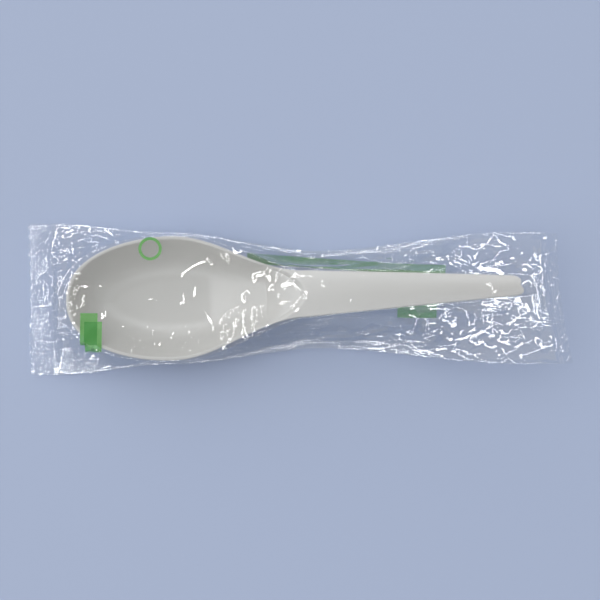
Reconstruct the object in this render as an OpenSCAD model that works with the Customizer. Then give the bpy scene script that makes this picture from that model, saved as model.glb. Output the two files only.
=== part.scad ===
// Wrapped Chinese soup spoon: one thin white moulding in a clear sealed film sleeve.
// +X runs from the bowl to the end of the handle, +Z is up.
// The origin is at the middle of the base, on the surface that the sleeve lies on.

/* [Spoon plan] */
// Length from the bowl's tip to the end of the handle
spoon_len = 150; // [140:1:165]
// Widest width across the bowl's rim
bowl_w = 41.6; // [38:0.1:45]
// Distance from the bowl's tip to its widest place
bowl_front_len = 35; // [30:1:40]
// Distance from the bowl's tip to the foot of the ramp
ramp_at = 46; // [42:1:52]
// Distance from the bowl's tip to the crest where the ramp meets the handle
crest_at = 80; // [74:1:88]
// Width of the neck at the crest
neck_w = 15.4; // [13:0.1:18]
// Width of the handle just before its end
handle_end_w = 6.2; // [5.5:0.1:9]
// How far the crest's arc bows towards the handle
crest_bow = 6; // [3:0.5:8]

/* [Spoon heights] */
// Wall thickness of the moulding
wall = 1.1; // [0.8:0.05:1.4]
// Height of the rim above the foot at the widest place
rim_h = 14; // [12:0.1:17]
// How much higher the rim is at the bowl's tip
tip_lift = 0.5; // [0:0.1:1.5]
// Height of the handle's edges above the foot at the crest
neck_h = 18.5; // [17:0.1:21]
// Height of the handle's edges above the foot at the handle's end
end_h = 28; // [24:0.5:34]
// Rise of the handle's top between its edges
crown = 0.9; // [0.4:0.1:1.5]
// Depth of the handle's skirts at the neck
neck_skirt = 4.5; // [3:0.1:6]
// Depth of the handle's skirts at its end
end_skirt = 3; // [2:0.1:4]
// Upright land below the bowl's rim
rim_land = 0.6; // [0.3:0.1:1]

/* [Handle end] */
// Length of the handle over which its end is shaped
end_zone = 8; // [6:0.5:12]
// Length of the rounded corners at the handle's end
corner_len = 3; // [2:0.1:4]
// Width of the rounded corners at the handle's end
corner_w = 1.7; // [1:0.1:2.5]
// Depth of the shallow bite between the two points of the end
bite_d = 0.5; // [0.2:0.1:1]
// Width of the bite
bite_w = 3; // [1.5:0.1:3.5]
// How much longer the end is on its lower side
end_lean = 1.6; // [0:0.1:2]

/* [Film sleeve] */
// Width of the empty sleeve laid flat
sleeve_w = 52; // [48:0.5:60]
// Drawn thickness of the film, thicker than the real film
film_t = 0.12; // [0.08:0.01:0.2]
// Length of each crimped end seal along the sleeve
seal_len = 8.1; // [7:0.1:12]
// Gap from the bowl's tip to the seal at the bowl's end
bowl_end_gap = 7; // [6.5:0.1:12]
// Gap from the handle's end to the seal at the handle's end
handle_end_gap = 11.7; // [9:0.1:15]
// How far the folded edges stand outside the bowl's rim
fold_margin = 1.4; // [1.2:0.1:3]
// Width of the sleeve where it is narrowest, beside the neck
waist_w = 33.6; // [30:0.1:38]
// Width across the arched seal at the handle's end
arch_w = 44.2; // [40:0.1:48]
// How much further out the lower corner of the arched seal lies
arch_lean = 3.6; // [0:0.1:6]
// How far the middle of the arched seal stands back from its corners
arch_bow = 4; // [0:0.1:5]
// Slope of the arched seal down to its cut edge, in degrees
arch_droop = 35; // [0:1:45]
// Sideways turn of the sleeve against the spoon, in degrees
sleeve_skew = 1.7; // [0:0.1:2.5]
// Height of the folded edges beside the bowl
bowl_fold_h = 9; // [6:0.1:10]
// Height of the folded edges beside the neck
waist_fold_h = 2; // [1.5:0.1:4]
// Height of the folded edges at the arched seal, where the handle holds the sleeve up
arch_fold_h = 12.5; // [9:0.1:14]
// Height of the flat seal at the bowl's end
seal_h = 3; // [1:0.1:5]
// Width of the fin seal folded flat along the sleeve's back
fin_w = 9; // [7:0.5:12]
// Pitch of the crimped ribs across an end seal
rib_pitch = 2.4; // [1.6:0.1:3]
// Height of a crimped rib
rib_h = 0.2; // [0.1:0.05:0.4]
// Pitch of the teeth along a cut edge
tooth_pitch = 3; // [2:0.1:4]
// Depth of the teeth along a cut edge
tooth_d = 1; // [0.5:0.1:1.5]

/* [Fit] */
// Gap between the spoon and the film
clearance = 0.3; // [0.3:0.05:0.6]
// How far the sleeve slides along the spoon towards the handle's end
slide_out = 2; // [1:0.1:3]
// How far the sleeve slides back towards the bowl
slide_back = 3; // [1:0.1:4]

/* [Hidden] */

// The film's layers under the foot: the fin's two layers, then the back panel.
fin_t = 2 * film_t;
foot_z = fin_t + film_t + clearance;

// Where the rays of the round bowl front start, as a share of the front's length
hub_share = 0.68;
// The flat foot's share of a ray from the hub to the rim
foot_share = 0.35;
// Power of the bowl's side, from a flat floor to a steep wall
side_power = 2.2;
// Power of the front outline, which is blunter than an ellipse
front_power = 0.44;
// Power of the ramp's rise
ramp_power = 1.5;
// Extra wall on the slope of the ramp
slope_wall_share = 0.25;
// Where the underside starts to open into the handle's channel, between the ramp's foot and the crest
open_share = 0.47;
// Powers of the rim's rise towards the neck and of the handle's rise to its end
rim_rise_power = 1.9;
handle_rise_power = 1.4;
// Width of the soft crest between ramp and handle, as a share of the crown
crest_soft_share = 0.3;
// Draft of the skirts' inner faces, as a share of the wall
draft_share = 0.3;
// Place of the bite across the handle's end, as a share of its half width
bite_at_share = 0.05;

// Rows of the spoon's mesh: the fan round the front, then along the bowl, crest, handle and end
fan_rows = 16;
fan_power = 1.25;
bowl_rows = 14;
crest_rows = 10;
neck_rows = 5;
handle_rows = 15;
end_rows = 8;
// Columns from the rim to the middle, and the power that packs them near the rim
half_cols = 10;
col_power = 1.3;

// Blends and small helpers
function mix(a, b, t) = a + (b - a) * t;
function clamp01(t) = min(1, max(0, t));
function smooth(t) = let (u = clamp01(t)) u * u * (3 - 2 * u);
function soft_min(a, b, k) =
    let (h = clamp01(0.5 + (b - a) / (2 * k))) mix(b, a, h) - k * h * (1 - h);

// Half width of the spoon's outline at a distance s from the bowl's tip
function outline_half(s) =
    s <= 0 ? 0
    : s < bowl_front_len ?
        let (u = (bowl_front_len - s) / bowl_front_len)
        bowl_w / 2 * pow(1 - u * u, front_power)
    : s < crest_at ?
        let (t = (s - bowl_front_len) / (crest_at - bowl_front_len))
        mix(bowl_w / 2, neck_w / 2, (1 - cos(180 * t)) / 2)
    : mix(neck_w / 2, handle_end_w / 2, clamp01((s - crest_at) / (spoon_len - crest_at)));

// Height of the rim and of the handle's edges above the foot
function edge_h(s) =
    s < bowl_front_len ?
        let (u = (bowl_front_len - max(s, 0)) / bowl_front_len)
        rim_h + tip_lift * u * u
    : s < crest_at ?
        let (t = (s - bowl_front_len) / (crest_at - bowl_front_len))
        mix(rim_h, neck_h, pow(t, rim_rise_power))
    : let (t = clamp01((s - crest_at) / (spoon_len - crest_at)))
        mix(neck_h, end_h, 1 - pow(1 - t, handle_rise_power));

// Inside floor along the middle, which climbs the ramp to the crest and past it
function floor_h(s) =
    let (t = max(0, (s - ramp_at) / (crest_at - ramp_at)))
    wall + (neck_h + crown - wall) * pow(t, ramp_power);
function under_h(s) =
    floor_h(s) - wall * (1 + slope_wall_share * smooth((s - ramp_at) / (crest_at - ramp_at)));

// Share of the side's rise at a share r of the way from the middle to the rim
function side_rise(r) = pow(max(0, (r - foot_share) / (1 - foot_share)), side_power);
function skirt_d(s) =
    mix(neck_skirt, end_skirt, clamp01((s - crest_at) / (spoon_len - crest_at)));

// A row is [where it starts on the middle line, where it meets the outline]
end_start = spoon_len - end_zone;
crest_from = crest_at - crest_bow - neck_skirt;
crest_to = crest_at + neck_skirt;
bow_to = 2 * crest_at - ramp_at;
inner_end = spoon_len - wall;
end_draft = wall * draft_share;
function fan_row(i) =
    let (a = 90 * pow(i / fan_rows, fan_power), back = max(0, i - 1) / (fan_rows - 1))
    [mix(bowl_front_len * hub_share, bowl_front_len, back), bowl_front_len * (1 - cos(a))];
function even_rows(a, b, n) = [for (i = [0 : n - 1]) let (s = mix(a, b, i / n)) [s, s]];
rows = concat(
    [for (i = [0 : fan_rows - 1]) fan_row(i)],
    even_rows(bowl_front_len, crest_from, bowl_rows),
    even_rows(crest_from, crest_at, crest_rows),
    even_rows(crest_at, crest_to, neck_rows),
    even_rows(crest_to, end_start, handle_rows),
    even_rows(end_start, inner_end - end_draft, end_rows),
    even_rows(inner_end - end_draft, inner_end, 1),
    [[inner_end, inner_end], [spoon_len, spoon_len]]
);
last_row = len(rows) - 1;

// How far the handle's end stands back at a signed share v of its half width
function end_back(v) =
    let (half = handle_end_w / 2,
         k = clamp01((abs(v) * half - (half - corner_w)) / corner_w),
         b = (v - bite_at_share) * half / (bite_w / 2))
    corner_len * (1 - sqrt(1 - k * k)) + end_lean * (v + 1) / 2
        + bite_d * (abs(b) < 1 ? (1 + cos(180 * b)) / 2 : 0);
end_back_min = min([for (i = [-20 : 20]) end_back(i / 20)]);

// Rows bow with the crest's arc, and the last ones take the shape of the handle's end
function bow(s) =
    s < crest_at ? smooth((s - ramp_at) / (crest_at - ramp_at))
    : smooth((bow_to - s) / (bow_to - crest_at));
function place(row, v) =
    let (s = mix(row[0], row[1], abs(v)))
    s - crest_bow * v * v * bow(s)
        - smooth((s - end_start) / end_zone) * (end_back(v) - end_back_min);
function plan(row, v) =
    [place(row, v) - spoon_len / 2, v * outline_half(place(row, sign(v)))];
function ray_len(row) = norm([row[1] - row[0], outline_half(row[1])]);

// How far the section has turned from a bowl into an open channel
function channel(s) =
    smooth((s - mix(ramp_at, crest_at, open_share)) / ((crest_at - ramp_at) * (1 - open_share)));

// Points of the top from rim to middle: the rim's outer corner, its inner corner, then the inside
function top_pt(row, j, side) =
    let (c = channel(row[1]),
         inset = 1 - wall / ray_len(row),
         g = j < 2 ? 1 : 1 - pow((j - 1) / (half_cols - 1), col_power),
         r_bowl = j == 0 ? 1 : g * inset,
         r = mix(r_bowl, 1 - j / half_cols, c),
         q = mix(g, r, c),
         edge = edge_h(mix(place(row, side), place(row, side * r), c)),
         mid = floor_h(row[0] < row[1] ? ramp_at : row[0]),
         ramp = mid + (edge - mid) * (j == 0 ? 1 : side_rise(q)),
         ridge = edge + crown * (1 - r * r),
         z = row[0] > ramp_at ? soft_min(ramp, ridge, crown * crest_soft_share) : ramp)
    concat(plan(row, side * r), [foot_z + z]);

// Points of the underside from rim to middle: a bowl's outside that opens into a channel
function under_pt(row, j, side) =
    let (closed = row[1] >= inner_end,
         c = channel(row[1]),
         q = 1 - pow(j / half_cols, col_power),
         half = max(outline_half(place(row, side)), wall),
         inner = 1 - wall / half,
         roof = inner - wall * draft_share / half,
         r_open = j == 0 ? 1 : j == 1 ? inner : roof * (1 - (j - 2) / (half_cols - 2)),
         r = mix(q, closed ? 1 - j / half_cols : r_open, c),
         s = mix(place(row, side), place(row, side * r), c),
         mid = under_h(row[0] < row[1] ? ramp_at : row[0]),
         z_bowl = mid + (edge_h(s) - rim_land - mid) * side_rise(q),
         z_skirt = edge_h(s) - skirt_d(s),
         z_roof = edge_h(s) + crown * (1 - r * r) - wall,
         z_chan = j < 2 || closed ? z_skirt : z_roof)
    concat(plan(row, side * r), [foot_z + mix(z_bowl, z_chan, c)]);

// One closed loop of points round the section of a row
function section(row) = concat(
    [for (j = [0 : half_cols]) top_pt(row, j, -1)],
    [for (j = [half_cols - 1 : -1 : 0]) top_pt(row, j, 1)],
    [for (j = [0 : half_cols]) under_pt(row, j, 1)],
    [for (j = [half_cols - 1 : -1 : 0]) under_pt(row, j, -1)]
);
wide = 2 * half_cols + 1;
around = 2 * wide;

// The first row is folded on itself, so its right half uses the points of its left half,
// and the second row starts from the same hub
function spoon_index(i, k) =
    let (m = k % around,
         folded = m < wide ? min(m, wide - 1 - m) : wide + max(m - wide, around - 1 - m),
         at_hub = m == half_cols || m == wide + half_cols)
    i == 0 || (i == 1 && at_hub) ? folded : i * around + m;
function tri_pair(a, b, c, d) = [[a, b, c], [a, c, d]];

// The skin of a stack of loops, with two triangles to each face
function side_faces(i, n) = [
    for (k = [0 : n - 1])
        each tri_pair(spoon_index(i, k), spoon_index(i, k + 1),
                      spoon_index(i + 1, k + 1), spoon_index(i + 1, k))
];
function distinct(f) = f[0] != f[1] && f[1] != f[2] && f[2] != f[0];
function cap_faces() = [
    for (k = [0 : wide - 2])
        each tri_pair(spoon_index(last_row, k), spoon_index(last_row, k + 1),
                      spoon_index(last_row, around - 2 - k), spoon_index(last_row, around - 1 - k))
];

module spoon() {
    points = [for (row = rows) each section(row)];
    faces = concat([for (i = [0 : last_row - 1]) each side_faces(i, around)], cap_faces());
    color("whitesmoke") polyhedron(points, [for (f = faces) if (distinct(f)) f]);
}

// Places along the sleeve, as distances from the bowl's tip
seal_in_bowl = -bowl_end_gap;
seal_in_handle = spoon_len + handle_end_gap;
neck_place = crest_at + neck_skirt;
arch_h = sqrt(3 / 8 * max(0, sleeve_w / arch_w - 1)) * arch_w;
fold_land = fold_margin / 3;
foot_front = bowl_front_len * hub_share * (1 - foot_share);
foot_half = bowl_w / 2 * foot_share;
// Where the back panel starts to lift off the floor, as a share of the way from neck to seal
lift_share = 0.3;
lift_at = mix(neck_place, seal_in_handle, lift_share);

// Blends a named size at four places along the sleeve: seal, bowl, neck and handle's end
function along(s, at_bowl_seal, at_bowl, at_neck, at_handle_end) =
    s < bowl_front_len ?
        mix(at_bowl_seal, at_bowl, smooth((s - seal_in_bowl) / (bowl_front_len - seal_in_bowl)))
    : s < neck_place ?
        mix(at_bowl, at_neck, smooth((s - bowl_front_len) / (neck_place - bowl_front_len)))
    : mix(at_neck, at_handle_end, smooth((s - neck_place) / (spoon_len - neck_place)));
function fold_half(s) =
    along(s, sleeve_w / 2, bowl_w / 2 + fold_margin, waist_w / 2, arch_w / 2);
function fold_h(s) =
    along(s, seal_h, bowl_fold_h, waist_fold_h, arch_fold_h);
function axis_y(s) = -tan(sleeve_skew) * (s - ramp_at);

// The spoon's reach in width and height over the whole slide
function reach_half(s) =
    let (a = max(s, 0) - slide_back, b = max(s, 0) + slide_out)
    max(outline_half(a), outline_half(b)) + clearance;
function reach_h(s) =
    let (a = s - slide_back, b = s + slide_out,
         top_a = edge_h(a) + crown * smooth((a - ramp_at) / (crest_at - ramp_at)),
         top_b = edge_h(b) + crown * smooth((b - ramp_at) / (crest_at - ramp_at)))
    foot_z + max(top_a, top_b) + clearance;

// Height of the arched seal at a place across the sleeve
function arch_z(s, y) =
    let (v = (y - axis_y(s)) / fold_half(s))
    arch_fold_h + arch_h * (1 - v * v);

// The back panel's inner face: flat under the foot, then up both sides to the folds
half_film_cols = 7;
function back_y(s, k) =
    let (side = sign(k), m = abs(k), land = fold_half(s) - fold_land)
    axis_y(s) + side * (
        m == 0 ? 0
        : m < half_film_cols ? mix(fin_w / 2, land, (m - 1) / (half_film_cols - 2))
        : fold_half(s));
function back_z(s, k) =
    let (m = abs(k), y = back_y(s, k), off = abs(y - axis_y(s)),
         out = max(0, off - foot_half) / (fold_half(s) - fold_land - foot_half),
         base = fin_t + film_t,
         tub = base + (fold_h(s) - base) * pow(clamp01(out), side_power),
         to_bowl = smooth((foot_front - slide_back - s) / (foot_front - slide_back - seal_in_bowl)),
         to_arch = smooth((s - lift_at) / (seal_in_handle - lift_at)))
    m >= half_film_cols - 1 ? fold_h(s)
    : mix(mix(tub, seal_h, to_bowl), arch_z(s, y), to_arch);

// The front panel's inner face: flat over the spoon, then down both flanks to the folds
flat_cols = 2;
// Powers of the flanks beside the bowl, the neck and the handle's end: above 1 they sag
flank_powers = [1.25, 2.4, 0.9];
end_bowl = -slide_out - clearance;
end_handle = spoon_len + slide_back + clearance;
function down_to_bowl(s) = smooth((end_bowl - s) / (end_bowl - seal_in_bowl));
function down_to_arch(s) = smooth((s - end_handle) / (seal_in_handle - end_handle));
function front_y(s, k) =
    let (side = sign(k), m = abs(k),
         rim = side * reach_half(s),
         land = axis_y(s) + side * (fold_half(s) - fold_land),
         over = m == 0 ? 0
             : m <= flat_cols ? rim * m / flat_cols
             : m < half_film_cols ? mix(rim, land, (m - flat_cols) / (half_film_cols - 1 - flat_cols))
             : axis_y(s) + side * fold_half(s))
    mix(over, back_y(s, k), down_to_bowl(s) + down_to_arch(s));
function front_z(s, k) =
    let (m = abs(k),
         t = clamp01((half_film_cols - 1 - m) / (half_film_cols - 1 - flat_cols)),
         power = along(s, flank_powers[0], flank_powers[0], flank_powers[1], flank_powers[2]),
         tent = mix(fold_h(s), reach_h(s), pow(t, power)))
    m >= half_film_cols - 1 ? fold_h(s)
    : mix(mix(tent, seal_h, down_to_bowl(s)), arch_z(s, front_y(s, k)), down_to_arch(s));

// The arched seal leans, its lower corner further out than its upper one, and its middle stands back
function lean_x(s, y) =
    let (v = (y - axis_y(s)) / fold_half(s))
    s - spoon_len / 2 - arch_lean / 2 * v * smooth((s - lift_at) / (seal_in_handle - lift_at))
        - arch_bow * (1 - v * v) * down_to_arch(s);

// Stations along the sleeve, closer where the film turns down to a seal
ramp_steps = 6;
body_steps = 34;
function steps(a, b, n) = [for (i = [0 : n - 1]) mix(a, b, i / n)];
film_rows = concat(
    steps(seal_in_bowl, end_bowl, ramp_steps),
    steps(end_bowl, bowl_front_len / 3, ramp_steps),
    steps(bowl_front_len / 3, spoon_len - wall, body_steps),
    steps(spoon_len - wall, end_handle, 2),
    steps(end_handle, seal_in_handle, ramp_steps),
    [seal_in_handle]
);

// A closed solid between an upper and a lower grid of points of the same size
module sheet(upper, lower) {
    n = len(upper);
    m = len(upper[0]);
    function at(i, j, layer) = (layer * n + i) * m + j;
    skins = [
        for (i = [0 : n - 2], j = [0 : m - 2])
            each concat(
                tri_pair(at(i, j, 0), at(i, j + 1, 0), at(i + 1, j + 1, 0), at(i + 1, j, 0)),
                [for (f = tri_pair(at(i, j, 1), at(i, j + 1, 1), at(i + 1, j + 1, 1), at(i + 1, j, 1)))
                    [f[2], f[1], f[0]]])
    ];
    ends = [
        for (j = [0 : m - 2])
            each concat(
                tri_pair(at(0, j + 1, 0), at(0, j, 0), at(0, j, 1), at(0, j + 1, 1)),
                tri_pair(at(n - 1, j, 0), at(n - 1, j + 1, 0),
                         at(n - 1, j + 1, 1), at(n - 1, j, 1)))
    ];
    sides = [
        for (i = [0 : n - 2])
            each concat(
                tri_pair(at(i, 0, 0), at(i + 1, 0, 0), at(i + 1, 0, 1), at(i, 0, 1)),
                tri_pair(at(i + 1, m - 1, 0), at(i, m - 1, 0),
                         at(i, m - 1, 1), at(i + 1, m - 1, 1)))
    ];
    polyhedron(concat([for (r = upper) each r], [for (r = lower) each r]),
               concat(skins, ends, sides));
}

function front_grid(lift) = [
    for (s = film_rows) [
        for (k = [-half_film_cols : half_film_cols])
            let (y = front_y(s, k)) [lean_x(s, y), y, front_z(s, k) + lift]
    ]
];
function back_grid(half, lift) = [
    for (s = film_rows) [
        for (k = [-half : half])
            let (y = back_y(s, k)) [lean_x(s, y), y, back_z(s, k) + lift]
    ]
];

module front_film_panel() {
    color("lightcyan", 0.35) sheet(front_grid(film_t), front_grid(0));
}

module back_film_panel() {
    color("lightcyan", 0.35) sheet(back_grid(half_film_cols, 0), back_grid(half_film_cols, -film_t));
}

// The back seam's two layers, folded flat against the back panel
module back_fin_seal() {
    color("azure", 0.5) sheet(back_grid(1, -film_t), back_grid(1, -film_t - fin_t));
}

// Share of the arch's height at a share v across it, straight between the panels' columns
function arch_share(v) = lookup(abs(v), [
    for (k = [0 : half_film_cols])
        let (s = seal_in_handle, u = (back_y(s, k) - axis_y(s)) / fold_half(s)) [u, 1 - u * u]
]);

// One crimped end seal: ribs run across it and teeth run along its cut edge
module end_seal(s_in, way, arched) {
    teeth = max(4, 2 * round(sleeve_w / tooth_pitch));
    ribs = 2 * round((seal_len - tooth_d) / rib_pitch);
    droop = arched ? arch_droop : 0;
    function place(i, j) =
        let (v = 2 * j / teeth - 1,
             run = i < ribs ? (seal_len - tooth_d) * i / ribs : seal_len - (j % 2 == 0 ? tooth_d : 0),
             s = s_in + way * run * cos(droop),
             y = axis_y(s) + v * fold_half(s_in),
             flat_z = arched ? arch_fold_h + arch_h * arch_share(v) : seal_h,
             lean = arched ? -arch_lean / 2 * v - arch_bow * arch_share(v) : 0,
             crimp = i > 0 && i < ribs ? (i % 2 == 0 ? -rib_h / 2 : rib_h / 2) : 0)
        [s - spoon_len / 2 + lean, y, flat_z - run * sin(droop) + crimp];
    function layer(lift) = [
        for (i = way > 0 ? [0 : 1 : ribs] : [ribs : -1 : 0]) [
            for (j = [0 : teeth]) place(i, j) + [0, 0, lift]
        ]
    ];
    color("aliceblue", 0.5) sheet(layer(film_t), layer(-film_t));
}

module bowl_end_seal() {
    end_seal(seal_in_bowl, -1, false);
}

module handle_end_seal() {
    end_seal(seal_in_handle, 1, true);
}

spoon();
front_film_panel();
back_film_panel();
back_fin_seal();
bowl_end_seal();
handle_end_seal();
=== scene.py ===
"""Wrapped Chinese soup spoon: a white moulded spoon in a clear, crimped film sleeve.

Sizes in the classes are millimetres. Every mesh is made in metres in the frame of the part:
+X runs from the bowl to the handle's end, +Z is up, and z = 0 is what the sleeve lies on.
"""

import logging
import math
import random
from collections.abc import Callable
from dataclasses import dataclass, field, replace
from enum import Enum

import bmesh
import bpy
import numpy as np
from mathutils import Matrix, Vector, bvhtree, geometry, noise


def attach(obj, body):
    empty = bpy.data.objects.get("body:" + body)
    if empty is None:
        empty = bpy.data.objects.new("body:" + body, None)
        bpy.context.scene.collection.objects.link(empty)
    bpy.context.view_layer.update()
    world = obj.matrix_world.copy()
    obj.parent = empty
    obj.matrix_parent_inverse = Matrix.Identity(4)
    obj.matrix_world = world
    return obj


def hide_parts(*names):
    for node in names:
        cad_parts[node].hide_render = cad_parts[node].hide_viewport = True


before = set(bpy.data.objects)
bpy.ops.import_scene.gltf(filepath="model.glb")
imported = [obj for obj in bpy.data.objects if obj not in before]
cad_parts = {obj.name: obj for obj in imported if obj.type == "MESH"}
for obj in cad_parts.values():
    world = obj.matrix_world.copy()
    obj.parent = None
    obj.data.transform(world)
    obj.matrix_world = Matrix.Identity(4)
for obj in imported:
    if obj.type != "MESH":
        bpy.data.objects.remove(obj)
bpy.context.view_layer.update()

Tree = bpy.types.NodeTree
Node = bpy.types.Node
Socket = bpy.types.NodeSocket
Material = bpy.types.Material
Piece = bpy.types.Object
Mesh = bmesh.types.BMesh
Faces = bvhtree.BVHTree
Array = np.ndarray
Arrays = tuple[Array, Array]
Many = float | Array
Pair = tuple[float, float]
Triple = tuple[float, float, float]
Spread = Callable[[Array, Array], Arrays]

LOG = logging.getLogger("soup_spoon")
MM = 0.001
PHOTO_SIDE = 600
SPOON_BODY = "spoon"
SLEEVE_BODY = "sleeve"
WHITE = (1.0, 1.0, 1.0, 1.0)
# Slope of the film from which only a crease that runs level can mirror a lamp
STEEP = 0.55
# Greatest height of a crease, in millimetres
TALLEST = 0.9
# Least and greatest turn from the film to the side of a crease, in radians
LEAST_TURN, GREATEST_TURN = 0.14, 0.9
# Places along a strip lamp that a crease may mirror, as shares of its length from the middle
STRIP_PARTS = np.linspace(-0.45, 0.45, 9)
# Stations across a wall of the sleeve, from its middle out to the fold
FIN_AT, RIM_AT, LAND_AT, FOLD_AT = 1, 2, 6, 7


class Slot(Enum):
    """The record's material slots."""

    PLASTIC = "spoon_plastic"
    FILM = "clear_film"
    CRIMP = "crimped_film"
    INK = "green_ink"


def mix(a: Many, b: Many, t: Many) -> Many:
    """Value a share t of the way from a to b."""
    return a + (b - a) * t


def share(s: Many, start: Many, end: Many) -> Many:
    """How far s is on the way from start to end, from 0 to 1."""
    return np.clip((s - start) / (end - start), 0, 1)


def smooth(t: Many) -> Many:
    """Soft step from 0 to 1."""
    u = np.clip(t, 0, 1)
    return u * u * (3 - 2 * u)


def rise(s: Many, start: Many, end: Many) -> Many:
    """Soft step from 0 at start to 1 at end."""
    return smooth((s - start) / (end - start))


def soft_min(a: Many, b: Many, k: float) -> Many:
    """The lower of a and b, with the corner between them rounded over k."""
    h = np.clip(0.5 + (b - a) / (2 * k), 0, 1)
    return mix(b, a, h) - k * h * (1 - h)


def linear(code: str) -> tuple[float, float, float, float]:
    """Linear RGBA of an sRGB hex colour.

    Args:
        code: Six hex digits after a hash sign.
    Returns:
        The linear colour with full alpha.
    """
    parts = [int(code[i : i + 2], 16) / 255 for i in (1, 3, 5)]
    return (*(c / 12.92 if c <= 0.04045 else ((c + 0.055) / 1.055) ** 2.4 for c in parts), 1.0)


def add_node(tree: Tree, kind: str, values: dict | None = None, **settings: object) -> Node:
    """Adds a node with its settings, and sets or links its inputs.

    Args:
        tree: The tree that gets the node.
        kind: The node type's name.
        values: Input name or number to a plain value or to an output socket.
        settings: Properties of the node itself.
    Returns:
        The new node.
    """
    node = tree.nodes.new(kind)
    for name, value in settings.items():
        setattr(node, name, value)
    for name, value in (values or {}).items():
        if isinstance(value, Socket):
            tree.links.new(value, node.inputs[name])
        else:
            node.inputs[name].default_value = value
    return node


def noise_node(tree: Tree, place: Socket, size_mm: float, detail: float = 2.0) -> Node:
    """Adds a noise pattern whose features have a size in millimetres."""
    return add_node(tree, "ShaderNodeTexNoise", {
        "Vector": place, "Scale": 1 / (size_mm * MM), "Detail": detail})


def math_node(tree: Tree, operation: str, *values: float | Socket, clamp: bool = False) -> Socket:
    """Adds a sum on some values."""
    return add_node(tree, "ShaderNodeMath", dict(enumerate(values)),
                    operation=operation, use_clamp=clamp).outputs[0]


def range_node(tree: Tree, value: Socket, low: float, high: float) -> Socket:
    """Adds a node that makes low of a value of 0 and high of a value of 1."""
    return add_node(tree, "ShaderNodeMapRange", {
        "Value": value, "To Min": low, "To Max": high}).outputs[0]


def tint_node(tree: Tree, factor: Socket, first: str, second: str) -> Socket:
    """Adds a blend of two sRGB hex colours."""
    colours = {"Factor": factor, "A": linear(first), "B": linear(second)}
    return add_node(tree, "ShaderNodeMix", colours, data_type="RGBA").outputs["Result"]


def bump_node(tree: Tree, height: Socket, strength: float, depth_mm: float,
              under: Socket | None = None) -> Socket:
    """Adds a bump.

    Args:
        tree: The tree that gets the node.
        height: The pattern that the bump follows.
        strength: How much of the bump shows, from 0 to 1.
        depth_mm: Depth of the whole pattern.
        under: Normal of another bump that this one lies on.
    Returns:
        The bump's normal.
    """
    values = {"Height": height, "Strength": strength, "Distance": depth_mm * MM}
    if under is not None:
        values["Normal"] = under
    return add_node(tree, "ShaderNodeBump", values).outputs[0]


def put_in_scene(name: str, data: bpy.types.ID) -> Piece:
    """Adds an object with a mesh, a lamp or a camera to the scene, at the origin."""
    bpy.context.scene.collection.objects.link(made := bpy.data.objects.new(name, data))
    return made


def put_mesh(name: str, bm: Mesh, material: Material) -> Piece:
    """Adds a mesh to the scene, and frees it.

    Args:
        name: The object's name.
        bm: The mesh, in metres, in its place.
        material: Its finish.
    Returns:
        The object.
    """
    mesh = bpy.data.meshes.new(name)
    bm.to_mesh(mesh)
    bm.free()
    mesh.materials.append(material)
    return put_in_scene(name, mesh)


def grid_mesh(points: Array) -> Mesh:
    """A grid of faces laid through rows and columns of places.

    Args:
        points: Places in millimetres, of shape (rows, columns, 3).
    Returns:
        The mesh in metres.
    """
    rows, cols = points.shape[0] - 1, points.shape[1] - 1
    bm = bmesh.new()
    bmesh.ops.create_grid(bm, x_segments=rows, y_segments=cols, size=0.5)
    places = points * MM
    for vert in bm.verts:
        vert.co = places[round((vert.co.x + 0.5) * rows), round((vert.co.y + 0.5) * cols)]
    return bm


def make_piece(name: str, bm: Mesh, material: Material, body: str,
               node: str | None = None, sharp_deg: float = 55.0) -> Piece:
    """Turns a mesh into a smooth-shaded piece that rides on a body.

    Args:
        name: The piece's name.
        bm: The mesh, in metres, in its place. It is freed.
        material: The piece's finish.
        body: The body that it rides on.
        node: The CAD node that it replaces, if any.
        sharp_deg: Edges that turn by more are sharp.
    Returns:
        The new object.
    """
    sharp = math.radians(sharp_deg)
    for face in bm.faces:
        face.smooth = True
    for edge in bm.edges:
        edge.smooth = len(edge.link_faces) != 2 or edge.calc_face_angle() < sharp
    piece = put_mesh(name, bm, material)
    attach(piece, body)
    if node:
        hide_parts(node)
    LOG.info("%s: %d faces, rides on %s", name, len(piece.data.polygons), body)
    return piece


@dataclass(frozen=True)
class Finish:
    """A material whose pattern is laid out in the frame of the part."""

    name: str

    def shader(self, tree: Tree, place: Socket) -> Node:
        """Adds the nodes of the surface, and returns its shader."""
        raise NotImplementedError

    def material(self) -> Material:
        """Makes the material.

        Returns:
            The new material.
        """
        material = bpy.data.materials.new(self.name)
        material.use_nodes = True
        tree = material.node_tree
        tree.nodes.clear()
        place = add_node(tree, "ShaderNodeTexCoord").outputs["Object"]
        surface = self.shader(tree, place).outputs[0]
        add_node(tree, "ShaderNodeOutputMaterial", {"Surface": surface})
        return material


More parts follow.
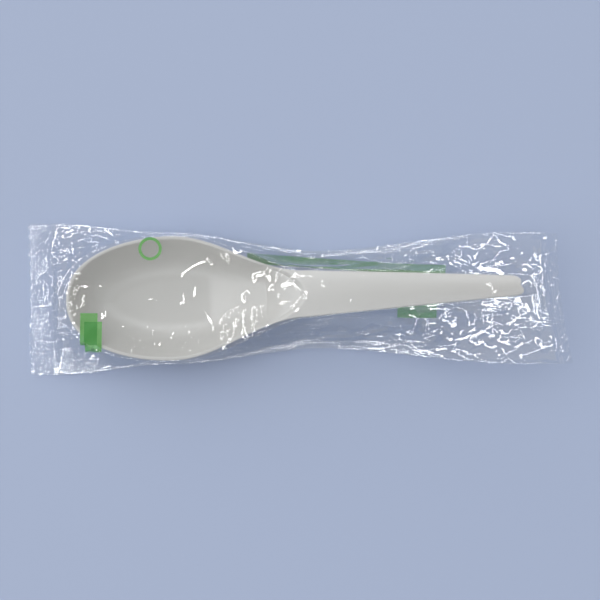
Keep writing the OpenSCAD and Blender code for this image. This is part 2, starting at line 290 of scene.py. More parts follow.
@dataclass(frozen=True)
class MouldedPolystyrene(Finish):
    """Injection-moulded white polystyrene."""

    name: str = "moulded_polystyrene"
    base: str = "#d6d5d1"
    shade: str = "#cbcac6"
    ior: float = 1.59
    roughness: Pair = (0.29, 0.41)
    flow_mm: float = 9.0
    flow_scale: Triple = (0.25, 1.0, 1.0)
    flow_bump: Pair = (0.25, 0.35)
    grain_mm: float = 0.35
    grain_bump: Pair = (0.2, 0.03)

    def shader(self, tree: Tree, place: Socket) -> Node:
        """Adds the spoon's surface: off-white, with the soft shine of a polished mould.

        Args:
            tree: The material's tree.
            place: Object coordinates.
        Returns:
            The shader.
        """
        # Polystyrene off a polished mould: an even off-white, a soft shine, faint flow streaks
        # along the part and a fine grain that only breaks up the highlights.
        along = add_node(tree, "ShaderNodeMapping", {"Vector": place, "Scale": self.flow_scale})
        flow = noise_node(tree, along.outputs[0], self.flow_mm, detail=3.0).outputs["Fac"]
        grain = noise_node(tree, place, self.grain_mm).outputs["Fac"]
        waves = bump_node(tree, flow, *self.flow_bump)
        return add_node(tree, "ShaderNodeBsdfPrincipled", {
            "Base Color": tint_node(tree, flow, self.base, self.shade),
            "Roughness": range_node(tree, flow, *self.roughness),
            "IOR": self.ior, "Normal": bump_node(tree, grain, *self.grain_bump, waves)})


@dataclass(frozen=True)
class ClearFilm(Finish):
    """Thin oriented polypropylene film."""

    name: str = "clear_polypropylene_film"
    veil: str = "#f9fafb"
    head_on: float = 0.11
    slanted: float = 0.9
    slant_power: float = 5.0
    roughness: float = 0.06
    cloud: float = 0.015
    crackle_mm: float = 2.6
    crackle_depth_mm: float = 0.06
    ripple_mm: float = 0.9
    ripple_depth_mm: float = 0.012
    strength: float = 0.2

    def shader(self, tree: Tree, place: Socket) -> Node:
        """Adds the film's surface: clear, with sharp glints where it is creased.

        Args:
            tree: The material's tree.
            place: Object coordinates.
        Returns:
            The shader.
        """
        # Cast and stretched polypropylene: water clear, two polished faces that mirror a tenth of
        # the light head on and far more at a slant, and a crackle of tiny creases.
        warp = noise_node(tree, place, 3 * self.crackle_mm)
        moved = add_node(tree, "ShaderNodeVectorMath", {
            0: warp.outputs["Color"], 1: (2 * self.crackle_mm * MM,) * 3, 2: place},
            operation="MULTIPLY_ADD")
        crackle = add_node(tree, "ShaderNodeTexVoronoi", {
            "Vector": moved.outputs[0], "Scale": 1 / (self.crackle_mm * MM)}, feature="F1")
        ripple = noise_node(tree, place, self.ripple_mm, detail=3.0)
        coarse = bump_node(tree, crackle.outputs["Distance"], self.strength, self.crackle_depth_mm)
        fine = bump_node(tree, ripple.outputs["Fac"], self.strength, self.ripple_depth_mm, coarse)
        facing = add_node(tree, "ShaderNodeLayerWeight", {"Blend": 0.5, "Normal": fine})
        slant = math_node(tree, "POWER", facing.outputs["Facing"], self.slant_power)
        mirrored = math_node(tree, "MULTIPLY_ADD", slant, self.slanted, self.head_on, clamp=True)
        clear = add_node(tree, "ShaderNodeBsdfTransparent", {"Color": linear(self.veil)})
        mirror = add_node(tree, "ShaderNodeBsdfGlossy", {
            "Color": WHITE, "Roughness": self.roughness, "Normal": fine})
        milk = add_node(tree, "ShaderNodeBsdfDiffuse", {"Color": linear(self.veil)})
        body = add_node(tree, "ShaderNodeMixShader", {
            0: self.cloud, 1: clear.outputs[0], 2: milk.outputs[0]})
        return add_node(tree, "ShaderNodeMixShader", {
            0: mirrored, 1: body.outputs[0], 2: mirror.outputs[0]})


@dataclass(frozen=True)
class PrintingInk(Finish):
    """Translucent green flexographic ink on film."""

    name: str = "green_flexographic_ink"
    colour: str = "#4a9c3c"
    thin: str = "#5fae4c"
    cover: Pair = (0.86, 0.74)
    roughness: float = 0.45
    ior: float = 1.5
    speckle_mm: float = 0.5

    def shader(self, tree: Tree, place: Socket) -> Node:
        """Adds the ink's surface: a flat green that lets a little light through.

        Args:
            tree: The material's tree.
            place: Object coordinates.
        Returns:
            The shader.
        """
        # Flexographic ink: one thin even coat, a little lighter where the plate pressed less.
        speckle = noise_node(tree, place, self.speckle_mm).outputs["Fac"]
        return add_node(tree, "ShaderNodeBsdfPrincipled", {
            "Base Color": tint_node(tree, speckle, self.colour, self.thin),
            "Roughness": self.roughness, "IOR": self.ior,
            "Alpha": range_node(tree, speckle, *self.cover)})


@dataclass(frozen=True)
class CoatedCard(Finish):
    """Matt coated card."""

    name: str = "pale_card"
    colour: str = "#a9b7d4"
    roughness: float = 0.75
    tooth_mm: float = 10 / 9
    tooth_bump: Pair = (0.1, 0.1)

    def shader(self, tree: Tree, place: Socket) -> Node:
        """Adds the card's surface.

        Args:
            tree: The material's tree.
            place: Object coordinates.
        Returns:
            The shader.
        """
        # Matt coated card: an even pale blue with a barely visible tooth.
        tooth = noise_node(tree, place, self.tooth_mm).outputs["Fac"]
        return add_node(tree, "ShaderNodeBsdfPrincipled", {
            "Base Color": linear(self.colour), "Roughness": self.roughness,
            "Normal": bump_node(tree, tooth, *self.tooth_bump)})


@dataclass
class Spoon:
    """The spoon: one thin moulding with a bowl, a ramp, a crest and an open channel for a handle.

    In its methods s is a distance from the bowl's tip, v a signed share of the half width, and
    a row is a pair: where it starts on the middle line, and where it meets the outline.
    """

    length: float = 150.0
    bowl_w: float = 41.6
    front_len: float = 35.0
    ramp_at: float = 46.0
    crest_at: float = 80.0
    neck_w: float = 15.4
    end_w: float = 6.2
    crest_bow: float = 6.0
    wall: float = 1.1
    rim_h: float = 14.0
    tip_lift: float = 0.5
    neck_h: float = 18.5
    end_h: float = 28.0
    crown: float = 0.9
    neck_skirt: float = 4.5
    end_skirt: float = 3.0
    rim_land: float = 0.6
    end_zone: float = 8.0
    corner_len: float = 3.0
    corner_w: float = 1.7
    bite_d: float = 0.5
    bite_w: float = 3.0
    bite_at: float = 0.05
    end_lean: float = 1.6
    foot_z: float = 0.66
    edge_radius: float = 0.28
    corner_share: float = 0.45
    lip_share: float = 0.3
    crown_blend: float = 0.3
    tip_power: float = 0.44
    waist_power: float = 1.9
    handle_power: float = 1.4
    ramp_power: float = 1.5
    ramp_wall: float = 0.25
    foot_share: float = 0.35
    side_power: float = 2.2
    channel_share: float = 0.47
    fan_from: float = 0.68
    fan_power: float = 1.25
    column_power: float = 1.3
    half_cols: int = 22
    fan_rows: int = 44
    weld: float = 0.002

    def __post_init__(self) -> None:
        """Numbers a section's columns from the left rim over the middle to the right one."""
        n = self.half_cols
        self.column = np.r_[np.arange(n + 1), np.arange(n - 1, -1, -1)]
        self.side = np.r_[-np.ones(n + 1), np.ones(n)]

    def by_part(self, s: Many, bowl: Many, waist: Many, handle: Many) -> Many:
        """The value for the bowl, the waist or the handle, by where s lies."""
        return np.where(s < self.front_len, bowl, np.where(s < self.crest_at, waist, handle))

    def outline_half(self, s: Many) -> Many:
        """Half width of the outline.

        Args:
            s: Distance from the bowl's tip.
        Returns:
            The half width there.
        """
        s = np.asarray(s, float)
        u = share(s, self.front_len, 0)
        bowl = self.bowl_w / 2 * np.power(np.maximum(1 - u * u, 0), self.tip_power)
        turn = (1 - np.cos(np.pi * share(s, self.front_len, self.crest_at))) / 2
        waist = mix(self.bowl_w / 2, self.neck_w / 2, turn)
        handle = mix(self.neck_w / 2, self.end_w / 2, share(s, self.crest_at, self.length))
        return self.by_part(s, bowl, waist, handle)

    def edge_height(self, s: Many) -> Many:
        """Height of the rim and of the handle's edges above the foot.

        Args:
            s: Distance from the bowl's tip.
        Returns:
            The height there.
        """
        s = np.asarray(s, float)
        u = share(s, self.front_len, 0)
        up = share(s, self.front_len, self.crest_at) ** self.waist_power
        waist = mix(self.rim_h, self.neck_h, up)
        left = (1 - share(s, self.crest_at, self.length)) ** self.handle_power
        handle = mix(self.neck_h, self.end_h, 1 - left)
        return self.by_part(s, self.rim_h + self.tip_lift * u * u, waist, handle)

    def floor_height(self, s: Many) -> Many:
        """Height of the inside along the middle, up the ramp and past the crest."""
        t = np.maximum(0, (s - self.ramp_at) / (self.crest_at - self.ramp_at))
        return self.wall + (self.neck_h + self.crown - self.wall) * t**self.ramp_power

    def under_height(self, s: Many) -> Many:
        """Height of the underside along the middle."""
        slope = rise(s, self.ramp_at, self.crest_at)
        return self.floor_height(s) - self.wall * (1 + self.ramp_wall * slope)

    def top_height(self, s: Many) -> Many:
        """Greatest height of the section above the foot."""
        return self.edge_height(s) + self.crown * rise(s, self.ramp_at, self.crest_at)

    def channel(self, s: float) -> float:
        """How far the section has turned from a bowl into an open channel."""
        return float(rise(s, mix(self.ramp_at, self.crest_at, self.channel_share), self.crest_at))

    def end_back(self, v: Array) -> Array:
        """How far the handle's end stands back: round corners, a lean and a small bite.

        Args:
            v: Signed share of the half width.
        Returns:
            The distance.
        """
        half = self.end_w / 2
        k = np.clip((np.abs(v) * half - (half - self.corner_w)) / self.corner_w, 0, 1)
        b = np.clip((v - self.bite_at) * half / (self.bite_w / 2), -1, 1)
        return (self.corner_len * (1 - np.sqrt(1 - k * k)) + self.end_lean * (v + 1) / 2
                + self.bite_d * (1 + np.cos(np.pi * b)) / 2)

    def bow(self, s: Many) -> Many:
        """How far a row at s takes part in the crest's arc."""
        bow_to = 2 * self.crest_at - self.ramp_at
        return rise(s, np.where(s < self.crest_at, self.ramp_at, bow_to), self.crest_at)

    def place(self, row: Pair, v: Array) -> Array:
        """Distance from the bowl's tip of places on a row.

        Args:
            row: The row.
            v: Signed shares of its half width.
        Returns:
            The distances.
        """
        s = mix(row[0], row[1], np.abs(v))
        least = self.end_back(np.linspace(-1, 1, 41)).min()
        shaped = rise(s, self.length - self.end_zone, self.length) * (self.end_back(v) - least)
        return s - self.crest_bow * v * v * self.bow(s) - shaped

    def plan(self, row: Pair, v: Array, z: Array) -> Array:
        """Places of a row at shares v of its half width and heights z."""
        half = self.outline_half(self.place(row, np.sign(v)))
        return np.stack([self.place(row, v) - self.length / 2, v * half, self.foot_z + z], axis=1)

    def side_rise(self, r: Array) -> Array:
        """Share of the side's rise at a share r of the way to the rim."""
        beside = np.maximum(0, (r - self.foot_share) / (1 - self.foot_share))
        return np.power(beside, self.side_power)

    def top_row(self, row: Pair) -> Array:
        """Places across the top.

        Args:
            row: The row.
        Returns:
            The places from the left rim to the right one.
        """
        start, meet = row
        j, side = self.column, self.side
        n, c = self.half_cols, self.channel(meet)
        inset = 1 - self.wall / math.hypot(meet - start, float(self.outline_half(meet)))
        g = np.where(j < 2, 1, 1 - (np.maximum(j - 1, 0) / (n - 1)) ** self.column_power)
        r = mix(np.where(j == 0, 1, g * inset), 1 - j / n, c)
        edge = self.edge_height(mix(self.place(row, side), self.place(row, side * r), c))
        mid = self.floor_height(self.ramp_at if start < meet else start)
        z = mid + (edge - mid) * np.where(j == 0, 1, self.side_rise(mix(g, r, c)))
        if start > self.ramp_at:
            z = soft_min(z, edge + self.crown * (1 - r * r), self.crown * self.crown_blend)
        return self.plan(row, side * r, z)

    def under_row(self, row: Pair) -> Array:
        """Places across the underside.

        Args:
            row: The row.
        Returns:
            The places from the right rim to the left one.
        """
        start, meet = row
        j, side = self.column, -self.side
        n, c = self.half_cols, self.channel(meet)
        closed = meet >= self.length - self.wall
        q = 1 - (j / n) ** self.column_power
        half = np.maximum(self.outline_half(self.place(row, side)), self.wall)
        inner = 1 - self.wall / half
        roof = inner - self.wall * self.lip_share / half
        r_open = np.where(j == 0, 1, np.where(j == 1, inner, roof * (1 - (j - 2) / (n - 2))))
        r = mix(q, 1 - j / n if closed else r_open, c)
        s = mix(self.place(row, side), self.place(row, side * r), c)
        mid = self.under_height(self.ramp_at if start < meet else start)
        edge = self.edge_height(s)
        skirt = mix(self.neck_skirt, self.end_skirt, share(s, self.crest_at, self.length))
        bowl = mid + (edge - self.rim_land - mid) * self.side_rise(q)
        roof_z = edge + self.crown * (1 - r * r) - self.wall
        open_z = np.where((j < 2) | closed, edge - skirt, roof_z)
        return self.plan(row, side * r, mix(bowl, open_z, c))

    def toward(self, corner: Array, other: Array) -> Array:
        """The place one edge radius from a corner on the way to another place."""
        reach = np.maximum(np.linalg.norm(other - corner, axis=-1, keepdims=True), 1e-6)
        return corner + (other - corner) * np.minimum(self.corner_share, self.edge_radius / reach)

    def rounded(self, before: Array, corner: Array, after: Array) -> list[Array]:
        """Three places that round a corner by the edge radius."""
        a, b = self.toward(corner, before), self.toward(corner, after)
        return [a, (a + 2 * corner + b) / 4, b]

    def section(self, row: Pair) -> Array:
        """One closed loop of places round the section, with its corners rounded.

        Args:
            row: The row.
        Returns:
            The places.
        """
        loop = np.concatenate([self.top_row(row), self.under_row(row)])
        count, wide = len(loop), 2 * self.half_cols + 1
        corners = {0, 1, wide - 2, wide - 1, wide, wide + 1, count - 2, count - 1}
        out = []
        for k in range(count):
            if k in corners:
                out += self.rounded(loop[k - 1], loop[k], loop[(k + 1) % count])
            else:
                out.append(loop[k])
        return np.array(out)

    def rows(self) -> list[Pair]:
        """Lays out the rows.

        Returns:
            A fan of rows round the bowl's tip, then rows square to the middle line.
        """
        fan = []
        for i in range(self.fan_rows):
            angle = math.pi / 2 * (i / self.fan_rows) ** self.fan_power
            back = max(0, i - 1) / (self.fan_rows - 1)
            fan.append((mix(self.fan_from, 1.0, back) * self.front_len,
                        self.front_len * (1 - math.cos(angle))))
        inner_end = self.length - self.wall
        lip = inner_end - self.lip_share * self.wall
        # Places along the middle line, and how many rows there are up to the next one
        marks = [(self.front_len, 32), (self.crest_at - self.crest_bow - self.neck_skirt, 34),
                 (self.crest_at, 14), (self.crest_at + self.neck_skirt, 48),
                 (self.length - self.end_zone, 26), (lip, 1), (inner_end, 0)]
        even = [mix(a, b, i / n) for (a, n), (b, _) in zip(marks, marks[1:]) for i in range(n)]
        return fan + [(s, s) for s in [*even, inner_end, self.length]]

    def mesh(self) -> Mesh:
        """Makes the closed skin of the spoon.

        Returns:
            The mesh in metres.
        """
        loops = [self.section(row) for row in self.rows()]
        last = loops.pop()
        middle = (last + last[::-1]) / 2
        loops += [*self.rounded(loops[-1], last, middle), middle]
        bm = grid_mesh(np.array([np.concatenate([loop, loop[:1]]) for loop in loops]))
        bmesh.ops.remove_doubles(bm, verts=bm.verts, dist=self.weld * MM)
        bmesh.ops.dissolve_degenerate(bm, edges=bm.edges, dist=self.weld * MM)
        bmesh.ops.recalc_face_normals(bm, faces=bm.faces)
        return bm

    def build(self) -> Faces:
        """Builds the spoon.

        Returns:
            A search tree of its faces, for the film's clearance.
        """
        bm = self.mesh()
        tree = Faces.FromBMesh(bm)
        finish = MouldedPolystyrene().material()
        make_piece("soup_spoon", bm, finish, SPOON_BODY, "spoon")
        return tree


@dataclass(frozen=True)
class Viewpoint:
    """Where the photograph was taken from, in metres and degrees."""

    distance: float = 0.4
    focal_px: float = 1155.0
    elevation: float = 86.7
    roll: float = 1.665
    target: Pair = (0.00299, -0.00104)

    def axes(self) -> tuple[Vector, Vector, Vector]:
        """Works out how the camera is turned.

        Returns:
            Its right, up and backward directions.
        """
        roll, lift = math.radians(self.roll), math.radians(self.elevation)
        right = Vector((math.cos(roll), -math.sin(roll), 0))
        level = Vector((math.sin(roll), math.cos(roll), 0))
        back = -level * math.cos(lift) + Vector((0, 0, math.sin(lift)))
        return right, back.cross(right), back

    def place(self) -> Vector:
        """The camera's place."""
        return Vector((*self.target, 0)) + self.axes()[2] * self.distance


@dataclass(frozen=True)
class StripRing:
    """A broken ring of slim strip lamps over the part, in metres and degrees."""

    tilt: float
    length: float
    count: int = 12
    width: float = 0.014
    far: float = 0.55
    radiance: float = 28.0
    contrast: float = 0.3
    brightest: float = 150.0
    first: float = 0.3
    sways: Triple = (-1.2, 1.2, 0.0)

    def strips(self) -> list[tuple[Vector, Vector, float]]:
        """Works out the ring's lamps, brighter on one side.

        Returns:
            The middle, the direction and the radiance of each lamp.
        """
        made = []
        for i in range(self.count):
            turn = 2 * math.pi * (i + self.first) / self.count
            tilt = math.radians(self.tilt + self.sways[i % 3])
            out = Vector((math.cos(turn), math.sin(turn), 0))
            middle = self.far * (out * math.sin(tilt) + Vector((0, 0, math.cos(tilt))))
            away = math.cos(turn - math.radians(self.brightest))
            level = self.radiance * (1 + self.contrast * away)
            made.append((middle, out.cross((0, 0, -1)), level))
        return made


RINGS = (StripRing(33.0, 0.14), StripRing(49.0, 0.16), StripRing(70.0, 0.15))


def glint_slopes(place: Vector) -> Array:
    """Slopes at which a face at a place mirrors a strip lamp to the camera.

    Args:
        place: The face's place, in metres.
    Returns:
        The slopes along X and Y, one row each.
    """
    view = (Viewpoint().place() - place).normalized()
    halves = [(middle + along * ring.length * part - place).normalized() + view
              for ring in RINGS for middle, along, _ in ring.strips() for part in STRIP_PARTS]
    return np.array([(-half.x / half.z, -half.y / half.z) for half in halves])


@dataclass(frozen=True)
class Crease:
    """A sharp ridge in the film, from one place to another in plan."""

    start: Pair
    end: Pair
    width: float = 0.8
    bow: float = 0.0
    tilt: float = 1.0
    calm_mm: float = 1.2
    end_mm: float = 0.5
    end_share: float = 0.3
    rounding: float = 0.06
    skew: float = 0.3
    miss_cost: float = 8.0

    def middle(self) -> Pair:
        """The ridge's middle in plan."""
        return (self.start[0] + self.end[0]) / 2, (self.start[1] + self.end[1]) / 2

    def run(self) -> Triple:
        """How far the ridge runs along X, along Y and in all."""
        dx, dy = self.end[0] - self.start[0], self.end[1] - self.start[1]
        return dx, dy, max(math.hypot(dx, dy), 1e-6)

    def level_with(self, film: Pair) -> "Crease":
        """Turns the ridge to run nearly level where the film is too steep to glint otherwise.

        Args:
            film: Slope of the film along X and Y at the ridge.
        Returns:
            The turned ridge, or this one where the film is flat enough.
        """
        steep = math.hypot(*film)
        if steep < STEEP:
            return self
        mid = self.middle()
        reach = math.hypot(self.end[0] - mid[0], self.end[1] - mid[1])
        dx, dy = -film[1] / steep * reach, film[0] / steep * reach
        # A skew that looks random but hangs on nothing but the place
        skew = self.skew * math.sin(37 * mid[0] + 11 * mid[1])
        dx, dy = dx - skew * dy, dy + skew * dx
        return replace(self, start=(mid[0] - dx, mid[1] - dy), end=(mid[0] + dx, mid[1] + dy))

    def height(self, film: Pair, glints: Array) -> float:
        """Height at which one side of the ridge is tilted as a glint needs it.

        Args:
            film: Slope of the film along X and Y at the ridge.
            glints: Slopes that mirror a lamp there.
        Returns:
            The height in millimetres.
        """
        dx, dy, span = self.run()
        lengthwise = (film[0] * dx + film[1] * dy) / span
        across = (film[1] * dx - film[0] * dy) / span
        miss = np.abs((glints @ (dx, dy)) / span - lengthwise)
        turn = np.abs(np.arctan((glints @ (-dy, dx)) / span * self.tilt) - math.atan(across))
        outside = np.where((turn < LEAST_TURN) | (turn > GREATEST_TURN), 1.0, 0.0)
        best = float(turn[np.argmin(turn + self.miss_cost * miss + outside)])
        best = min(max(best, LEAST_TURN), GREATEST_TURN)
        return min(self.width * math.hypot(1, across) * math.tan(best), TALLEST)

    def shape(self, x: Array, y: Array) -> Arrays:
        """Works out what the ridge does to the film: sides almost flat, ends cut off short.

        Args:
            x: The places' x.
            y: The places' y.
        Returns:
            The share of its height there, and the share by which the film is drawn smooth.
        """
        dx, dy, span = self.run()
        t = ((x - self.start[0]) * dx + (y - self.start[1]) * dy) / span**2
        n = ((y - self.start[1]) * dx - (x - self.start[0]) * dy) / span
        inside = np.clip(t, 0, 1)
        within, off = np.minimum(t, 1 - t) * span, np.abs(n - self.bow * 4 * inside * (1 - inside))
        side = np.maximum(0, 1 - off / self.width)
        side = side + self.rounding * side * (1 - side)
        calm = np.clip(1 - (off - self.width) / self.calm_mm, 0, 1)
        return (np.clip(within / self.end_mm + self.end_share, 0, 1) * side,
                calm * np.clip(1 + within / self.calm_mm, 0, 1))


@dataclass(frozen=True)
class CreaseZone:
    """A part of the film that is strewn with small creases."""

    x: Pair
    y: Pair
    count: int
    length: Pair = (1.0, 3.5)
    angle: float = 0.0
    spread: float = 90.0
    width: Pair = (0.55, 0.8)
    bow: Pair = (-0.2, 0.2)
    tilt: Pair = (0.95, 1.05)

    def creases(self, draw: random.Random) -> list[Crease]:
        """Draws the zone's creases.

        Args:
            draw: The random draws.
        Returns:
            The creases.
        """
        made = []
        for _ in range(self.count):
            x, y = draw.uniform(*self.x), draw.uniform(*self.y)
            turn = math.radians(self.angle + draw.uniform(-self.spread, self.spread))
            reach = draw.uniform(*self.length) / 2
            dx, dy = reach * math.cos(turn), reach * math.sin(turn)
            made.append(Crease((x - dx, y - dy), (x + dx, y + dy), draw.uniform(*self.width),
                               draw.uniform(*self.bow) * reach, draw.uniform(*self.tilt)))
        return made


# Start, end, width and bow of each placed crease of the front wall
FRONT_CREASES = [Crease(*row) for row in (
    # Over the bowl and beside its rim
    ((-67.8, 24.2), (-63.0, 24.0), 0.88, 0.6), ((-68.6, 23.8), (-68.4, 19.5), 0.88, 0.3),
    ((-72.4, 21.4), (-69.3, 23.2), 0.88), ((-77.5, 13.6), (-74.0, 15.3), 1, 0.3),
    ((-79.9, -6.7), (-77.0, -4.9)), ((-79.4, -8.1), (-76.7, -6.2)),
    ((-69.1, -21.6), (-62.7, -19.4), 1, -0.4), ((-62.7, -19.4), (-60.6, -20.8), 0.88),
    ((-68.8, -22.0), (-61.5, -21.6)), ((-71.4, -17.2), (-66.3, -16.2), 1, 0.3),
    ((-73.6, -0.3), (-69.7, -0.7)), ((-56.0, 2.8), (-56.8, -0.8), 0.88, 0.2),
    ((-62.0, -1.4), (-61.5, -6.0), 0.88, 0.3), ((-48.2, -0.8), (-43.6, -1.3), 0.88, 0.2),
    ((-57.3, -12.6), (-56.2, -15.5), 0.88, 0.2), ((-64.6, -13.8), (-64.9, -16.6)),
    ((-77.2, 2.0), (-76.4, 5.8)), ((-75.9, 6.6), (-73.9, 11.0), 0.8, -0.2),
    ((-73.4, 11.6), (-69.6, 15.2), 0.8, -0.2), ((-31.7, 9.1), (-33.6, -0.2), 0.8, -0.3),
    ((-33.4, -1.0), (-30.6, -6.0), 0.8, 0.2), ((0.4, 4.2), (3.6, -0.3), 0.8, 0.5),
    ((3.6, -0.8), (0.1, -5.1), 0.8, 0.5), ((-30.6, -2.2), (-25.4, -11.3), 1.22, 0.9),
    ((-15.7, -7.8), (-12.2, -16.7), 1.1, -0.7), ((-36.0, 7.0), (-27.5, 11.5), 1.22, 0.6),
    # Beside the neck and along the handle
    ((1.2, 12.2), (8.6, 13.9), 0.88), ((1.2, 12.2), (0.4, 13.6)),
    ((-0.5, 9.4), (20.2, 8.6), 0.88, -0.7), ((20.2, 8.6), (29.4, 9.6), 0.88, 0.3),
    ((30.6, 15.0), (35.3, 14.9), 1, 0.2), ((36.9, 13.5), (48.6, 13.2), 0.8, 0.1),
    ((43.9, 10.4), (53.6, 10.2)), ((2.2, 5.4), (10.9, 4.5)),
    ((10.9, 4.3), (32.1, 4.2), 0.8, 0.2), ((10.7, 4.4), (11.0, 2.0)),
    ((10.9, 2.0), (30.9, 3.2), 0.8, -0.2), ((-4.5, -0.4), (2.9, -0.9)),
    ((-3.6, -2.7), (6.4, -3.8)), ((19.2, -2.9), (22.4, -4.0)),
    # The lower flap
    ((10.8, -14.5), (29.4, -14.8), 1.3, 0.2), ((21.0, -13.6), (32.4, -12.0), 0.88, -0.3),
    ((4.8, -17.0), (16.5, -17.4), 0.88, -0.2), ((16.0, -17.4), (31.9, -17.2), 1, -0.3),
    ((31.8, -17.3), (33.8, -18.9)), ((33.8, -18.9), (38.9, -16.7), 0.8, 0.4),
    ((38.7, -16.6), (41.0, -18.4)), ((44.6, -18.8), (47.9, -15.9), 1.1),
    ((45.9, -19.2), (47.7, -17.2), 0.88), ((52.5, -14.6), (55.6, -17.6), 0.88, 0.4),
    ((56.9, -14.8), (64.5, -12.2), 1, 0.3), ((58.5, -17.4), (65.4, -12.6), 1, -0.2),
    ((64.8, -12.2), (66.3, -16.2), 0.88), ((60.5, -19.2), (66.6, -16.7), 1, 0.2),
    ((57.4, -21.6), (61.0, -17.6), 0.88), ((58.2, -22.0), (62.0, -19.8)),
    # The upper flap and the handle's end
    ((58.3, 17.4), (60.2, 11.4), 1, -0.6), ((59.9, 14.1), (70.7, 14.8), 0.88, 0.3),
    ((65.2, 11.7), (66.6, 8.4), 1, -0.3), ((72.1, 15.4), (72.6, 13.7), 1),
    ((81.0, 13.8), (81.3, 10.3)), ((81.2, 11.4), (84.2, 13.8)),
    ((86.0, 6.0), (89.0, 10.9), 1.1, 0.3), ((79.3, -3.8), (82.8, -7.5), 1, -0.7),
    ((74.8, -5.4), (76.6, -9.2)), ((78.4, -5.0), (79.6, -8.6)),
    ((76.7, -10.8), (78.8, -15.2), 0.88, -0.4), ((72.4, -15.8), (75.0, -17.8), 1.3),
    ((72.6, -18.2), (75.4, -16.2), 1),
)]


def zones(*rows: tuple) -> list[CreaseZone]:
    """Zones by their ranges along X and Y, count, lengths, angle and its spread, and widths."""
    return [CreaseZone(*row) for row in rows]


FRONT_ZONES = zones(
    ((-56.0, -27.0), (-17.5, -9.0), 90, (1.4, 3.4), 80.0, 30.0, (0.8, 1.05)),
    ((-24.0, -8.0), (-14.0, -4.0), 26, (1.4, 3.2), 60.0, 40.0, (0.8, 1.0)),
    ((-82.0, -70.0), (-23.0, 20.0), 200, (1.0, 3.4), 20.0, 70.0, (0.7, 1.0)),
    ((-80.0, -62.0), (-23.5, -16.0), 34, (1.0, 3.2), 10.0, 60.0, (0.7, 1.0)),
    ((-72.0, -56.0), (19.0, 25.0), 18, (1.0, 3.2), 15.0, 50.0),
    ((-30.0, 8.0), (-20.0, -11.0), 24, (0.8, 2.4), 60.0, 60.0, (0.5, 0.65)),
    ((0.0, 60.0), (-19.0, -10.0), 50, (1.2, 4.5), 0.0, 45.0),
    ((10.0, 60.0), (9.0, 17.0), 16, (1.2, 4.5), 0.0, 40.0),
    ((60.0, 86.0), (-23.0, 15.0), 24, (0.9, 3.2), 70.0, 60.0),
    ((-60.0, -20.0), (-15.0, 15.0), 14, (1.8, 4.0), 40.0, 90.0, (0.55, 0.7)),
    ((-40.0, 0.0), (-2.0, 8.0), 7, (2.0, 4.5), 0.0, 50.0, (0.55, 0.7)),
)
BACK_ZONES = zones(
    ((-82.0, -68.0), (-22.0, 24.0), 70, (1.0, 3.5), 10.0, 60.0),
    ((0.0, 60.0), (-19.0, 16.0), 46, (1.5, 6.0), 0.0, 40.0),
    ((60.0, 86.0), (-23.0, 16.0), 10, (1.0, 3.5), 70.0, 60.0),
)
BOWL_SEAL_ZONES = zones(
    ((-90.0, -82.6), (-25.0, -5.0), 110, (1.0, 3.2), 90.0, 25.0, (0.7, 1.0)),
    ((-90.0, -82.6), (-5.0, 25.0), 80, (0.8, 2.2), 60.0, 60.0, (0.7, 1.0)),
)
HANDLE_SEAL_ZONES = zones(
    ((84.0, 90.0), (-14.0, -6.0), 45, (0.5, 1.2), 90.0, 60.0, (0.5, 0.7)),
    ((82.0, 94.0), (-26.0, 18.0), 100, (0.8, 2.4), 90.0, 30.0, (0.5, 0.8)),
)


def evenly(x: Array, y: Array) -> Arrays:
    """Shares of a net's spacing and slope that are 1 everywhere."""
    return np.ones_like(x), np.ones_like(y)


@dataclass(frozen=True)
class CrumpleNet:
    """Flat facets of film between sharp creases, on a net of random points."""

    spacing: float
    slope: float
    stretch: float
    seed: int
    throws: float = 3.5
    margin: float = 3.0
    above: float = 90.0

    def points(self, low: Array, high: Array, spread: Spread) -> list[Triple]:
        """Throws points that keep their distance, each with a random height.

        Args:
            low: Least x and y, in millimetres.
            high: Greatest x and y.
            spread: Gives the spacing's share and the slope's share at places.
        Returns:
            The points, with x divided by the stretch.
        """
        draw = np.random.default_rng(self.seed)
        count = round(self.throws * np.prod(high - low) / self.spacing**2 / self.stretch)
        thrown = draw.uniform(low, high, (count, 2))
        apart, slope = spread(thrown[:, 0], thrown[:, 1])
        reach = self.spacing * apart
        heights = draw.uniform(-1, 1, count) * self.slope * slope * reach
        thrown[:, 0] /= self.stretch
        cell = float(reach.max())
        taken: dict[tuple[int, int], list[Pair]] = {}
        kept = []
        for (x, y), far, height in zip(thrown.tolist(), reach.tolist(), heights.tolist()):
            i, j = int(x // cell), int(y // cell)
            near = (p for a in (-1, 0, 1) for b in (-1, 0, 1)
                    for p in taken.get((i + a, j + b), ()))
            if all((x - p[0]) ** 2 + (y - p[1]) ** 2 > far * far for p in near):
                taken.setdefault((i, j), []).append((x, y))
                kept.append((x, y, height))
        return kept

    def relief(self, grid: Array, spread: Spread = evenly) -> Array:
        """Lays the facets over a grid.

        Args:
            grid: Places, of shape (rows, columns, 3).
            spread: Gives the spacing's share and the slope's share at places.
        Returns:
            Height of the facets at each place, in millimetres.
        """
        margin = self.margin * self.spacing
        plan = grid[..., :2]
        net = self.points(plan.min(axis=(0, 1)) - margin, plan.max(axis=(0, 1)) + margin, spread)
        flat = [Vector(p[:2]) for p in net]
        faces = geometry.delaunay_2d_cdt(flat, [], [], 0, 0.001)[2]
        tree = Faces.FromPolygons([Vector(p) for p in net], faces)
        down = Vector((0, 0, -1))
        out = np.zeros(grid.shape[:2])
        for at in np.ndindex(out.shape):
            x, y = plan[at]
            hit = tree.ray_cast(Vector((x / self.stretch, y, self.above)), down)[0]
            out[at] = hit.z if hit else 0.0
        return out


